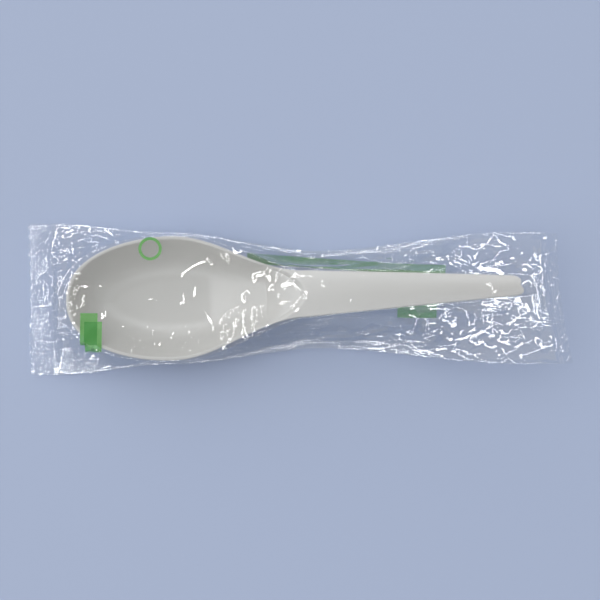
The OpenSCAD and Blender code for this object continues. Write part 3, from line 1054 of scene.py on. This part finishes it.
@dataclass(frozen=True)
class WallLook:
    """How one wall of the sleeve is crumpled. Lowest is its least height in film thicknesses."""

    front: bool
    coarse: CrumpleNet
    fine: CrumpleNet
    swell_seed: float
    crease_seed: int
    placed: list[Crease]
    zones: list[CreaseZone]
    lowest: float


# The nets by their spacing, slope, stretch and seed
FRONT_LOOK = WallLook(True, CrumpleNet(3.3, 0.2, 1.7, 31), CrumpleNet(1.25, 0.09, 1.3, 59),
                      5.0, 11, FRONT_CREASES, FRONT_ZONES, 0.5)
BACK_LOOK = WallLook(False, CrumpleNet(3.3, 0.14, 1.7, 47), CrumpleNet(1.25, 0.06, 1.3, 71),
                     9.0, 23, [], BACK_ZONES, 2.2)


@dataclass
class FilmSleeve:
    """The film: a front and a back wall, folded along the long edges, a fin and two end seals.

    In its methods s is a distance from the bowl's tip, and w a station across a wall, negative
    on the right. Faces is a search tree of the spoon's faces.
    """

    spoon: Spoon
    faces: Faces
    width: float = 52.0
    film_t: float = 0.12
    seal_len: float = 8.1
    bowl_gap: float = 7.0
    handle_gap: float = 11.7
    fold_margin: float = 1.4
    waist_w: float = 33.6
    arch_w: float = 44.2
    arch_lean: float = 3.6
    arch_bow: float = 4.0
    arch_droop_deg: float = 35.0
    lift_share: float = 0.3
    skew_deg: float = 1.7
    bowl_fold_h: float = 9.0
    waist_fold_h: float = 2.0
    arch_fold_h: float = 12.5
    seal_h: float = 3.0
    fin_w: float = 9.0
    tooth_pitch: float = 3.0
    tooth_d: float = 1.0
    clearance: float = 0.3
    slide_out: float = 2.0
    slide_back: float = 3.0
    flank_powers: Triple = (1.25, 2.4, 0.9)
    slack: float = 1.06
    # Where the film is loose, as starts and ends of soft steps
    loose_at_bowl: Pair = (7.0, -2.0)
    loose_at_handle: Pair = (132.0, 150.0)
    flap_along: Pair = (30.0, 60.0)
    flap_beside: Pair = (-0.5, 2.5)
    flap_share: float = 0.75
    tight_spacing: float = 1.9
    tight_slope: float = 0.22
    # How the relief of the walls is shaped and where it fades
    swell_mm: Pair = (8.0, 3.6)
    swell_h: float = 0.22
    handle_calm: float = 0.6
    calm_reach: float = 30.0
    fold_calm: float = 0.25
    fold_fade: float = 1.4
    seal_fade: float = 1.2
    least_gap: float = 0.17
    least_up: float = 0.2
    room_max: float = 3.5
    highest: float = 30.3
    # Ribs and waves of the end seals
    rib_pitch: float = 1.3
    rib_h: float = 0.1
    rib_press: float = 0.7
    rib_patches: float = 1.1
    rib_range: Pair = (0.1, 1.4)
    patch_mm: Pair = (3.1, 4.3)
    patch_seed: float = 4.0
    rib_fade: float = 0.9
    wave_fade: float = 4.0
    fin_wave_h: float = 0.03
    fin_wave_count: int = 3
    fin_relief: float = 0.06
    floor_gap: float = 0.02
    ink_t: float = 0.03
    print_cell: float = 0.4
    drop_from: float = 60.0
    ring_at: Pair = (-46.6, 16.7)
    ring_radii: Pair = (3.9, 2.9)
    crease_deg: float = 9.0
    fin_deg: float = 55.0
    cell: float = 0.36
    girth_share: float = 1.15
    probes: int = 281
    tooth_cols: int = 14
    seal_rows: int = 38
    fin_cols: int = 31
    fin_rows: int = 260
    made: dict[str, Piece] = field(default_factory=dict)
    on_front: list[Piece] = field(default_factory=list)
    on_back: list[Piece] = field(default_factory=list)

    def __post_init__(self) -> None:
        """Works out the places that the sizes lead to, and makes the materials."""
        self.seal_in_bowl = -self.bowl_gap
        self.seal_in_handle = self.spoon.length + self.handle_gap
        self.neck_at = self.spoon.crest_at + self.spoon.neck_skirt
        self.lift_at = mix(self.neck_at, self.seal_in_handle, self.lift_share)
        self.end_bowl = -self.slide_out - self.clearance
        self.end_handle = self.spoon.length + self.slide_back + self.clearance
        # Rise of an arch that is as long as the film is wide
        self.arch_h = math.sqrt(3 / 8 * (self.width / self.arch_w - 1)) * self.arch_w
        self.land = self.fold_margin / 3
        self.base = 3 * self.film_t
        self.film = {Slot.FILM: ClearFilm().material(), Slot.CRIMP: ClearFilm(
            "crimped_polypropylene_film", cloud=0.02, crackle_mm=1.1, crackle_depth_mm=0.05,
            ripple_mm=0.5, ripple_depth_mm=0.01, strength=0.25).material()}
        self.inks = {1: PrintingInk().material(), 2: PrintingInk(
            "double_green_flexographic_ink", "#2c8a2b", "#3c9a38").material()}

    def along(self, s: Many, at_bowl_seal: float, at_bowl: float, at_neck: float,
              at_handle_end: float) -> Many:
        """Blends a size between four places along the sleeve.

        Args:
            s: Distance from the bowl's tip.
            at_bowl_seal: Size at the bowl's seal.
            at_bowl: Size at the bowl.
            at_neck: Size at the neck.
            at_handle_end: Size from the handle's end on.
        Returns:
            The size at s.
        """
        front = self.spoon.front_len
        one = mix(at_bowl_seal, at_bowl, rise(s, self.seal_in_bowl, front))
        two = mix(at_bowl, at_neck, rise(s, front, self.neck_at))
        three = mix(at_neck, at_handle_end, rise(s, self.neck_at, self.spoon.length))
        return np.where(s < front, one, np.where(s < self.neck_at, two, three))

    def fold_half(self, s: Many) -> Many:
        """Half width from fold to fold."""
        return self.along(s, self.width / 2, self.spoon.bowl_w / 2 + self.fold_margin,
                          self.waist_w / 2, self.arch_w / 2)

    def fold_h(self, s: Many) -> Many:
        """Height of the folds."""
        return self.along(s, self.seal_h, self.bowl_fold_h, self.waist_fold_h, self.arch_fold_h)

    def axis_y(self, s: Many) -> Many:
        """The sleeve's middle line, which is turned a little against the spoon."""
        return -math.tan(math.radians(self.skew_deg)) * (s - self.spoon.ramp_at)

    def reach(self, s: Many) -> tuple[Many, Many]:
        """Works out what the film has to clear over the whole slide.

        Args:
            s: Distance from the bowl's tip.
        Returns:
            The half width and the height.
        """
        spoon, on = self.spoon, np.maximum(s, 0)
        half = np.maximum(spoon.outline_half(np.maximum(on - self.slide_back, 0)),
                          spoon.outline_half(on + self.slide_out)) + self.clearance
        top = np.maximum(spoon.top_height(s - self.slide_back),
                         spoon.top_height(s + self.slide_out))
        return half, spoon.foot_z + self.clearance + top

    def arch_z(self, s: Many, y: Many) -> Many:
        """Height of the arched seal at the handle's end."""
        v = (y - self.axis_y(s)) / self.fold_half(s)
        return self.arch_fold_h + self.arch_h * (1 - v * v)

    def to_arch(self, s: Many) -> Many:
        """How far the back wall has risen to the arched seal."""
        return rise(s, self.lift_at, self.seal_in_handle)

    def down_to_arch(self, s: Many) -> Many:
        """How far the front wall has come down to the arched seal."""
        return rise(s, self.end_handle, self.seal_in_handle)

    def lean_x(self, s: Many, y: Many) -> Many:
        """Place along X of a point of a wall: the arched seal leans, and its middle stands back."""
        v = (y - self.axis_y(s)) / self.fold_half(s)
        return (s - self.spoon.length / 2 - self.arch_lean / 2 * v * self.to_arch(s)
                - self.arch_bow * (1 - v * v) * self.down_to_arch(s))

    def to_fold(self, s: float, m: Array, z: Array) -> Array:
        """Heights z of a wall, drawn to the fold's height between the land and the fold."""
        return np.where(m >= LAND_AT, mix(z, self.fold_h(s), smooth(m - LAND_AT)), z)

    def back_profile(self, s: float, w: Array) -> Arrays:
        """Inner face of the back wall.

        Args:
            s: Distance from the bowl's tip.
            w: Stations across the wall.
        Returns:
            Their y and z.
        """
        m, half = np.abs(w), self.fold_half(s)
        land = half - self.land
        off = np.interp(m, [0, FIN_AT, LAND_AT, FOLD_AT], [0, self.fin_w / 2, land, half])
        out = share(off, self.spoon.bowl_w / 2 * self.spoon.foot_share, land)
        y = self.axis_y(s) + np.sign(w) * off
        tub = self.base + (self.fold_h(s) - self.base) * out**self.spoon.side_power
        foot_end = self.spoon.front_len * self.spoon.fan_from * (1 - self.spoon.foot_share)
        to_bowl = rise(s, foot_end - self.slide_back, self.seal_in_bowl)
        z = mix(mix(tub, self.seal_h, to_bowl), self.arch_z(s, y), self.to_arch(s))
        return y, self.to_fold(s, m, z)

    def front_profile(self, s: float, w: Array) -> Arrays:
        """Inner face of the front wall.

        Args:
            s: Distance from the bowl's tip.
            w: Stations across the wall.
        Returns:
            Their y and z.
        """
        m, side = np.abs(w), np.sign(w)
        half, axis = self.fold_half(s), self.axis_y(s)
        rim, top = self.reach(s)
        down_bowl = rise(s, self.end_bowl, self.seal_in_bowl)
        land, flank = axis + side * (half - self.land), LAND_AT - RIM_AT
        over = np.where(m <= RIM_AT, side * rim * m / RIM_AT,
                        np.where(m <= LAND_AT, mix(side * rim, land, (m - RIM_AT) / flank),
                                 mix(land, axis + side * half, m - LAND_AT)))
        y = mix(over, self.back_profile(s, w)[0], down_bowl + self.down_to_arch(s))
        low, mid, end = self.flank_powers
        up = share(m, LAND_AT, RIM_AT) ** self.along(s, low, low, mid, end)
        tent = mix(self.fold_h(s), top, up)
        z = mix(mix(tent, self.seal_h, down_bowl), self.arch_z(s, y), self.down_to_arch(s))
        return y, self.to_fold(s, m, z)

    def wall_grid(self, front: bool) -> Array:
        """Evenly spaced places on a wall, halfway through the film.

        Args:
            front: True for the front wall, False for the back one.
        Returns:
            The places, of shape (rows, columns, 3).
        """
        length = self.seal_in_handle - self.seal_in_bowl
        stations = np.linspace(self.seal_in_bowl, self.seal_in_handle, round(length / self.cell))
        cols = round(self.girth_share * self.width / self.cell) | 1
        w = np.linspace(-FOLD_AT, FOLD_AT, self.probes)
        shift = self.film_t / 2 * (1 if front else -1) * smooth(FOLD_AT - np.abs(w))
        grid = []
        for s in stations:
            y, z = (self.front_profile if front else self.back_profile)(s, w)
            z = z + shift
            run = np.r_[0, np.cumsum(np.hypot(np.diff(y), np.diff(z)))]
            even = np.linspace(0, run[-1], cols)
            y, z = np.interp(even, run, y), np.interp(even, run, z)
            grid.append(np.stack([self.lean_x(s, y), y, z], axis=1))
        return np.array(grid)

    @staticmethod
    def normals(grid: Array) -> Array:
        """Unit normals of a grid of places, on its upper side."""
        normal = np.cross(np.gradient(grid, axis=0), np.gradient(grid, axis=1))
        return normal / np.maximum(np.linalg.norm(normal, axis=2, keepdims=True), 1e-9)

    def spread(self, x: Array, y: Array) -> Arrays:
        """Makes a crumple net fine and steep in the loose ends and flaps, and calm elsewhere.

        Args:
            x: The places' x.
            y: The places' y.
        Returns:
            Shares of the net's spacing and slope there.
        """
        s = x + self.spoon.length / 2
        ends = np.maximum(rise(s, *self.loose_at_bowl), rise(s, *self.loose_at_handle))
        beside = rise(np.abs(y) - self.reach(s)[0], *self.flap_beside)
        loose = np.maximum(ends, self.flap_share * (beside * rise(s, *self.flap_along)))
        return mix(self.tight_spacing, 1.0, loose), mix(self.tight_slope, 1.0, loose)

    def swell(self, grid: Array, seed: float) -> Array:
        """Slow waves that curve the facets, so that glints are streaks and not whole facets.

        Args:
            grid: The places.
            seed: Where the waves are cut from.
        Returns:
            Their height at each place.
        """
        a, b = self.swell_mm
        flat = [noise.noise(Vector((p[0] / a, p[1] / b, seed))) for p in grid.reshape(-1, 3)]
        return self.swell_h * np.array(flat).reshape(grid.shape[:2])

    def room(self, grid: Array) -> Array:
        """Least distance from each place to the spoon over the whole slide.

        Args:
            grid: The places, in millimetres.
        Returns:
            The distances, up to the greatest that matters.
        """
        flat = grid.reshape(-1, 3) * MM
        out = np.full(len(flat), self.room_max * MM)
        for slide in (-self.slide_back, -self.slide_back / 2, 0.0, self.slide_out):
            for i, p in enumerate(flat):
                hit = self.faces.find_nearest((p[0] + slide * MM, p[1], p[2]), out[i])
                if hit[3] is not None:
                    out[i] = min(out[i], hit[3])
        return out.reshape(grid.shape[:2]) / MM

    def ridged(self, grid: Array, up: Array, placed: list[Crease], zones: list[CreaseZone],
               seed: int) -> Arrays:
        """Lays creases over a sheet, each as high as it needs to mirror a lamp.

        Args:
            grid: The sheet's places.
            up: Its unit normals.
            placed: Creases with set places.
            zones: Parts of the sheet that are strewn with creases.
            seed: Start of the random draws.
        Returns:
            The creases' height and the share by which they calm the film round them.
        """
        x, y = grid[..., 0], grid[..., 1]
        draw = random.Random(seed)
        slopes = -up[..., :2] / np.maximum(up[..., 2:], self.least_up)
        ridges, calm = np.zeros(x.shape), np.zeros(x.shape)
        strewn = (crease for zone in zones for crease in zone.creases(draw))
        for number, crease in enumerate([*placed, *strewn]):
            mid = crease.middle()
            at = np.unravel_index(np.argmin((x - mid[0]) ** 2 + (y - mid[1]) ** 2), x.shape)
            film = tuple(slopes[at].tolist())
            if number >= len(placed):
                if ridges[at] > 0:
                    continue
                crease = crease.level_with(film)
            relief, smoothed = crease.shape(x, y)
            height = crease.height(film, glint_slopes(Vector(grid[at]) * MM))
            ridges = np.maximum(ridges, relief * height)
            calm = np.maximum(calm, smoothed)
        return ridges, calm

    def crinkled(self, look: WallLook) -> Array:
        """A wall with its facets and creases, kept clear of the spoon and of the floor.

        Args:
            look: How the wall is crumpled.
        Returns:
            The places of the wall's grid.
        """
        grid = self.wall_grid(look.front)
        s = grid[..., 0] + self.spoon.length / 2
        lift = (look.coarse.relief(grid, self.spread) + look.fine.relief(grid, self.spread)
                + self.swell(grid, look.swell_seed))
        to_handle = smooth((s - self.seal_in_handle) / self.calm_reach + 1)
        lift = lift * mix(1.0, self.handle_calm, to_handle)
        normal = self.normals(grid)
        ridges, calm = self.ridged(grid, normal, look.placed, look.zones, look.crease_seed)
        inside = self.fold_half(s) - np.abs(grid[..., 1] - self.axis_y(s))
        seals = np.linspace(0, self.seal_in_handle - self.seal_in_bowl, len(grid))[:, None]
        seals = np.minimum(seals, seals[::-1])
        lift = lift * (1 - calm) + ridges
        lift = lift * mix(self.fold_calm, 1.0, smooth(inside / self.fold_fade))
        lift = lift * smooth(seals / self.seal_fade)
        room = np.maximum(self.room(grid) - self.least_gap, 0)
        inward = lift < 0 if look.front else lift > 0
        lift = np.where(inward, np.sign(lift) * np.minimum(np.abs(lift), room), lift)
        grid = grid + normal * lift[..., None]
        grid[..., 2] = np.clip(grid[..., 2], look.lowest * self.film_t, self.highest)
        return grid

    def add(self, name: str, node: str, grid: Array, slot: Slot, flipped: bool,
            sharp_deg: float) -> None:
        """Makes a piece of the web from a grid.

        Args:
            name: The piece's name.
            node: The CAD node that it replaces.
            grid: Its places.
            slot: The record's material slot.
            flipped: True where the faces look the wrong way.
            sharp_deg: Edges that turn by more are sharp.
        """
        bm = grid_mesh(grid)
        if flipped:
            bmesh.ops.reverse_faces(bm, faces=bm.faces)
        if slot is Slot.CRIMP:
            bmesh.ops.remove_doubles(bm, verts=bm.verts, dist=0.001 * MM)
        self.made[name] = make_piece(name, bm, self.film[slot], SLEEVE_BODY, node, sharp_deg)

    def walls(self) -> None:
        """Builds the front and the back wall, joined along the folds."""
        front, back = self.crinkled(FRONT_LOOK), self.crinkled(BACK_LOOK)
        back[:, [0, -1]] = front[:, [0, -1]]
        self.add("front_film", "front_film_panel", front, Slot.FILM, False, self.crease_deg)
        self.add("back_film", "back_film_panel", back, Slot.FILM, True, self.crease_deg)

    def seal_plan(self, way: int) -> Array:
        """Smooth places on an end seal, with teeth along its cut edge.

        Args:
            way: -1 at the bowl's end, 1 at the handle's end.
        Returns:
            The places, of shape (rows, columns, 3).
        """
        arched = way > 0
        s_in = self.seal_in_handle if arched else self.seal_in_bowl
        droop = math.radians(self.arch_droop_deg) if arched else 0.0
        teeth = round(self.width / self.tooth_pitch)
        v = np.linspace(-1, 1, teeth * self.tooth_cols + 1)
        saw = np.abs(((v + 1) / 2 * teeth) % 1.0 - 0.5) * 2
        cut = np.maximum(self.seal_len - self.tooth_d * saw, self.seal_len - self.tooth_d)
        arch = 1 - v * v
        lean = -self.arch_lean / 2 * v - self.arch_bow * arch if arched else 0.0
        flat = self.arch_fold_h + self.arch_h * arch if arched else np.full_like(v, self.seal_h)
        out = []
        for run in np.linspace(0, self.seal_len, self.seal_rows):
            reached = np.minimum(run, cut)
            s = s_in + way * reached * math.cos(droop)
            y = self.axis_y(s) + v * self.fold_half(s_in)
            x, z = s - self.spoon.length / 2 + lean, flat - reached * math.sin(droop)
            out.append(np.stack([x, y, z], axis=1))
        return np.array(out)

    def end_seal(self, name: str, node: str, way: int, zones: list[CreaseZone]) -> None:
        """Builds one crimped end seal, with ribs across it.

        Args:
            name: The piece's name.
            node: The CAD node that it replaces.
            way: -1 at the bowl's end, 1 at the handle's end, where the seal is held up in an arch.
            zones: Parts of the seal that are strewn with creases.
        """
        grid = self.seal_plan(way)
        run = np.linspace(0, self.seal_len, len(grid))[:, None]
        a, b = self.patch_mm
        seed = self.patch_seed + way
        patch = np.array([[noise.noise(Vector((p[0] / a, p[1] / b, seed))) for p in row]
                          for row in grid])
        pressed = np.clip(self.rib_press + self.rib_patches * patch, *self.rib_range)
        ribs = self.rib_h * np.sin(2 * np.pi * run / self.rib_pitch) * pressed
        facets = CrumpleNet(spacing=1.6, slope=0.15, stretch=0.7, seed=83 + way).relief(grid)
        waves = CrumpleNet(spacing=5.5, slope=0.16, stretch=1.0, seed=97 + way).relief(grid)
        up = self.normals(grid) * way
        ridges, calm = self.ridged(grid, up, [], zones, seed=37 + way)
        lift = (ribs + facets) * (1 - calm) + ridges + waves * smooth(run / self.wave_fade)
        grid = grid + up * (lift * smooth(run / self.rib_fade))[..., None]
        self.add(name, node, grid, Slot.CRIMP, way < 0, self.crease_deg)

    def fin(self) -> None:
        """Builds the fin seal that lies folded against the back."""
        v = np.linspace(-FIN_AT, FIN_AT, self.fin_cols)
        out = []
        for s in np.linspace(self.seal_in_bowl, self.seal_in_handle, self.fin_rows):
            z = self.back_profile(s, v)[1] - 2 * self.film_t
            y = self.axis_y(s) + v * self.fin_w / 2
            z = z + self.fin_wave_h * np.cos(2 * np.pi * self.fin_wave_count * v)
            out.append(np.stack([self.lean_x(s, y), y, z], axis=1))
        grid = np.array(out)
        facets = CrumpleNet(spacing=3.0, slope=0.05, stretch=1.6, seed=101)
        grid[..., 2] += np.clip(facets.relief(grid, self.spread), None, self.fin_relief)
        grid[..., 2] = np.maximum(grid[..., 2], self.floor_gap)
        self.add("fin_seal", "back_fin_seal", grid, Slot.CRIMP, True, self.fin_deg)

    def printed(self, name: str, bm: Mesh, front: bool, coats: int = 1) -> None:
        """Drops a flat print onto a wall and makes it a piece.

        Args:
            name: The print's name.
            bm: The flat print in metres, in its place in plan.
            front: True for the front wall, False for the back one.
            coats: How many coats of ink lie on each other there.
        """
        source = bmesh.new()
        source.from_mesh(self.made["front_film" if front else "back_film"].data)
        tree = Faces.FromBMesh(source)
        source.free()
        way, coat = -1.0 if front else 1.0, (self.ink_t + self.ink_t * coats) * MM
        start, along = -self.drop_from * MM * way, Vector((0, 0, way))
        for vert in bm.verts:
            hit = tree.ray_cast(Vector((vert.co.x, vert.co.y, start)), along)[0]
            if hit is not None:
                vert.co.z = max(hit.z - way * coat, self.floor_gap * MM)
        if not front:
            bmesh.ops.reverse_faces(bm, faces=bm.faces)
        piece = make_piece(name, bm, self.inks[coats], SLEEVE_BODY)
        (self.on_front if front else self.on_back).append(piece)

    def prints(self) -> None:
        """Builds the plain green prints: a ring, two register marks and two bars."""
        ring = bmesh.new()
        centre = Matrix.Translation([at * MM for at in (*self.ring_at, 0)])
        for radius in self.ring_radii:
            bmesh.ops.create_circle(ring, segments=72, radius=radius * MM, matrix=centre)
        bmesh.ops.bridge_loops(ring, edges=ring.edges)
        across = [e for e in ring.edges if len(e.link_faces) == 2]
        bmesh.ops.subdivide_edges(ring, edges=across, cuts=2, use_grid_fill=True)
        bmesh.ops.recalc_face_normals(ring, faces=ring.faces)
        self.printed("print_ring", ring, True)
        # Wall, coats of ink, middle, width, height and turn of each flat print
        for name, front, coats, x, y, w, h, turn in (
            ("print_register_first", True, 1, -67.55, -9.6, 5.7, 10.7, -2.0),
            ("print_register_second", True, 1, -66.2, -12.2, 5.9, 10.2, -2.0),
            ("print_register_both", True, 2, -66.95, -11.05, 4.3, 7.7, -2.0),
            ("print_bar_upper", False, 1, 19.0, 10.6, 68.0, 3.4, -5.5),
            ("print_bar_lower", False, 1, 43.0, -6.0, 13.0, 5.0, -3.0),
        ):
            bm = bmesh.new()
            cols, rows = (max(4, round(side / self.print_cell)) for side in (w, h))
            bmesh.ops.create_grid(bm, x_segments=cols, y_segments=rows, size=0.5)
            bmesh.ops.scale(bm, vec=(w * MM, h * MM, 1), verts=bm.verts)
            turned = Matrix.Rotation(math.radians(turn), 3, "Z")
            bmesh.ops.rotate(bm, cent=(0, 0, 0), matrix=turned, verts=bm.verts)
            bmesh.ops.translate(bm, vec=(x * MM, y * MM, 0), verts=bm.verts)
            self.printed(name, bm, front, coats)

    def build(self) -> None:
        """Builds the whole sleeve."""
        self.walls()
        self.fin()
        self.end_seal("bowl_seal", "bowl_end_seal", -1, BOWL_SEAL_ZONES)
        self.end_seal("handle_seal", "handle_end_seal", 1, HANDLE_SEAL_ZONES)
        self.prints()


@dataclass
class Studio:
    """The floor, the lamps and the camera at the photograph's angle."""

    floor_side: float = 3.0
    floor_gap: float = 0.02
    view: Viewpoint = Viewpoint()
    sensor_mm: float = 36.0
    clip: Pair = (0.01, 10.0)
    world_level: float = 0.29
    backdrop_level: float = 0.62
    key_level: float = 2.4
    key_spread_deg: float = 110.0
    key_from: Triple = (-0.5, 0.4, 0.7)

    def floor(self) -> None:
        """Lays a plain pale sheet under the sleeve."""
        bm = bmesh.new()
        bmesh.ops.create_grid(bm, x_segments=1, y_segments=1, size=self.floor_side / 2)
        bmesh.ops.translate(bm, vec=(0, 0, -self.floor_gap * MM), verts=bm.verts)
        put_mesh("floor", bm, CoatedCard().material())

    def camera(self) -> None:
        """Sets up the camera, nearly straight above, with the photograph's square frame."""
        data = bpy.data.cameras.new("camera")
        data.sensor_width = self.sensor_mm
        data.lens = data.sensor_width * self.view.focal_px / PHOTO_SIDE
        data.clip_start, data.clip_end = self.clip
        camera = put_in_scene("camera", data)
        turned = Matrix(self.view.axes()).transposed().to_4x4()
        camera.matrix_world = Matrix.Translation(self.view.place()) @ turned
        bpy.context.scene.camera = camera

    def lamp(self, data: bpy.types.Light, place: Matrix, mirrored: bool) -> None:
        """Hangs up a lamp that shines down its own Z axis.

        Args:
            data: The lamp.
            place: Where it hangs and how it is turned.
            mirrored: True if it only shows mirrored in gloss, False if it only lights.
        """
        lamp = put_in_scene(data.name, data)
        lamp.matrix_world = place
        lamp.visible_camera = False
        lamp.visible_diffuse, lamp.visible_glossy = not mirrored, mirrored

    def lamps(self) -> None:
        """Hangs up a soft key and the rings of strips that the creases mirror."""
        key = bpy.data.lights.new("key", "SUN")
        key.energy = self.key_level
        key.angle = math.radians(self.key_spread_deg)
        self.lamp(key, Vector(self.key_from).to_track_quat("Z", "Y").to_matrix().to_4x4(), False)
        for number, ring in enumerate(RINGS):
            for i, (middle, along, radiance) in enumerate(ring.strips()):
                data = bpy.data.lights.new(f"strip_{number}_{i}", "AREA")
                data.shape = "RECTANGLE"
                data.size, data.size_y = ring.length, ring.width
                data.energy = radiance * math.pi * ring.length * ring.width
                away = middle.normalized()
                turned = Matrix((along, away.cross(along), away)).transposed().to_4x4()
                self.lamp(data, Matrix.Translation(middle) @ turned, True)

    def world(self) -> None:
        """Makes an even surround, which is seen as a pale backdrop."""
        world = bpy.data.worlds.new("surround")
        world.use_nodes = True
        tree = world.node_tree
        tree.nodes.clear()
        ray = add_node(tree, "ShaderNodeLightPath").outputs
        seen = math_node(tree, "MAXIMUM", ray["Is Camera Ray"], ray["Is Glossy Ray"])
        seen = math_node(tree, "MAXIMUM", seen, ray["Is Transmission Ray"])
        level = range_node(tree, seen, self.world_level, self.backdrop_level)
        light = add_node(tree, "ShaderNodeBackground", {"Color": WHITE, "Strength": level})
        add_node(tree, "ShaderNodeOutputWorld", {"Surface": light.outputs[0]})
        bpy.context.scene.world = world

    def build(self) -> None:
        """Sets up the whole studio."""
        self.floor()
        self.camera()
        self.lamps()
        self.world()
        bpy.context.scene.view_settings.view_transform = "Standard"


def main() -> None:
    """Builds the studio, the spoon and its sleeve."""
    logging.basicConfig(level=logging.INFO, format="%(name)s: %(message)s")
    Studio().build()
    spoon = Spoon()
    FilmSleeve(spoon, spoon.build()).build()


if __name__ == "__main__":
    main()
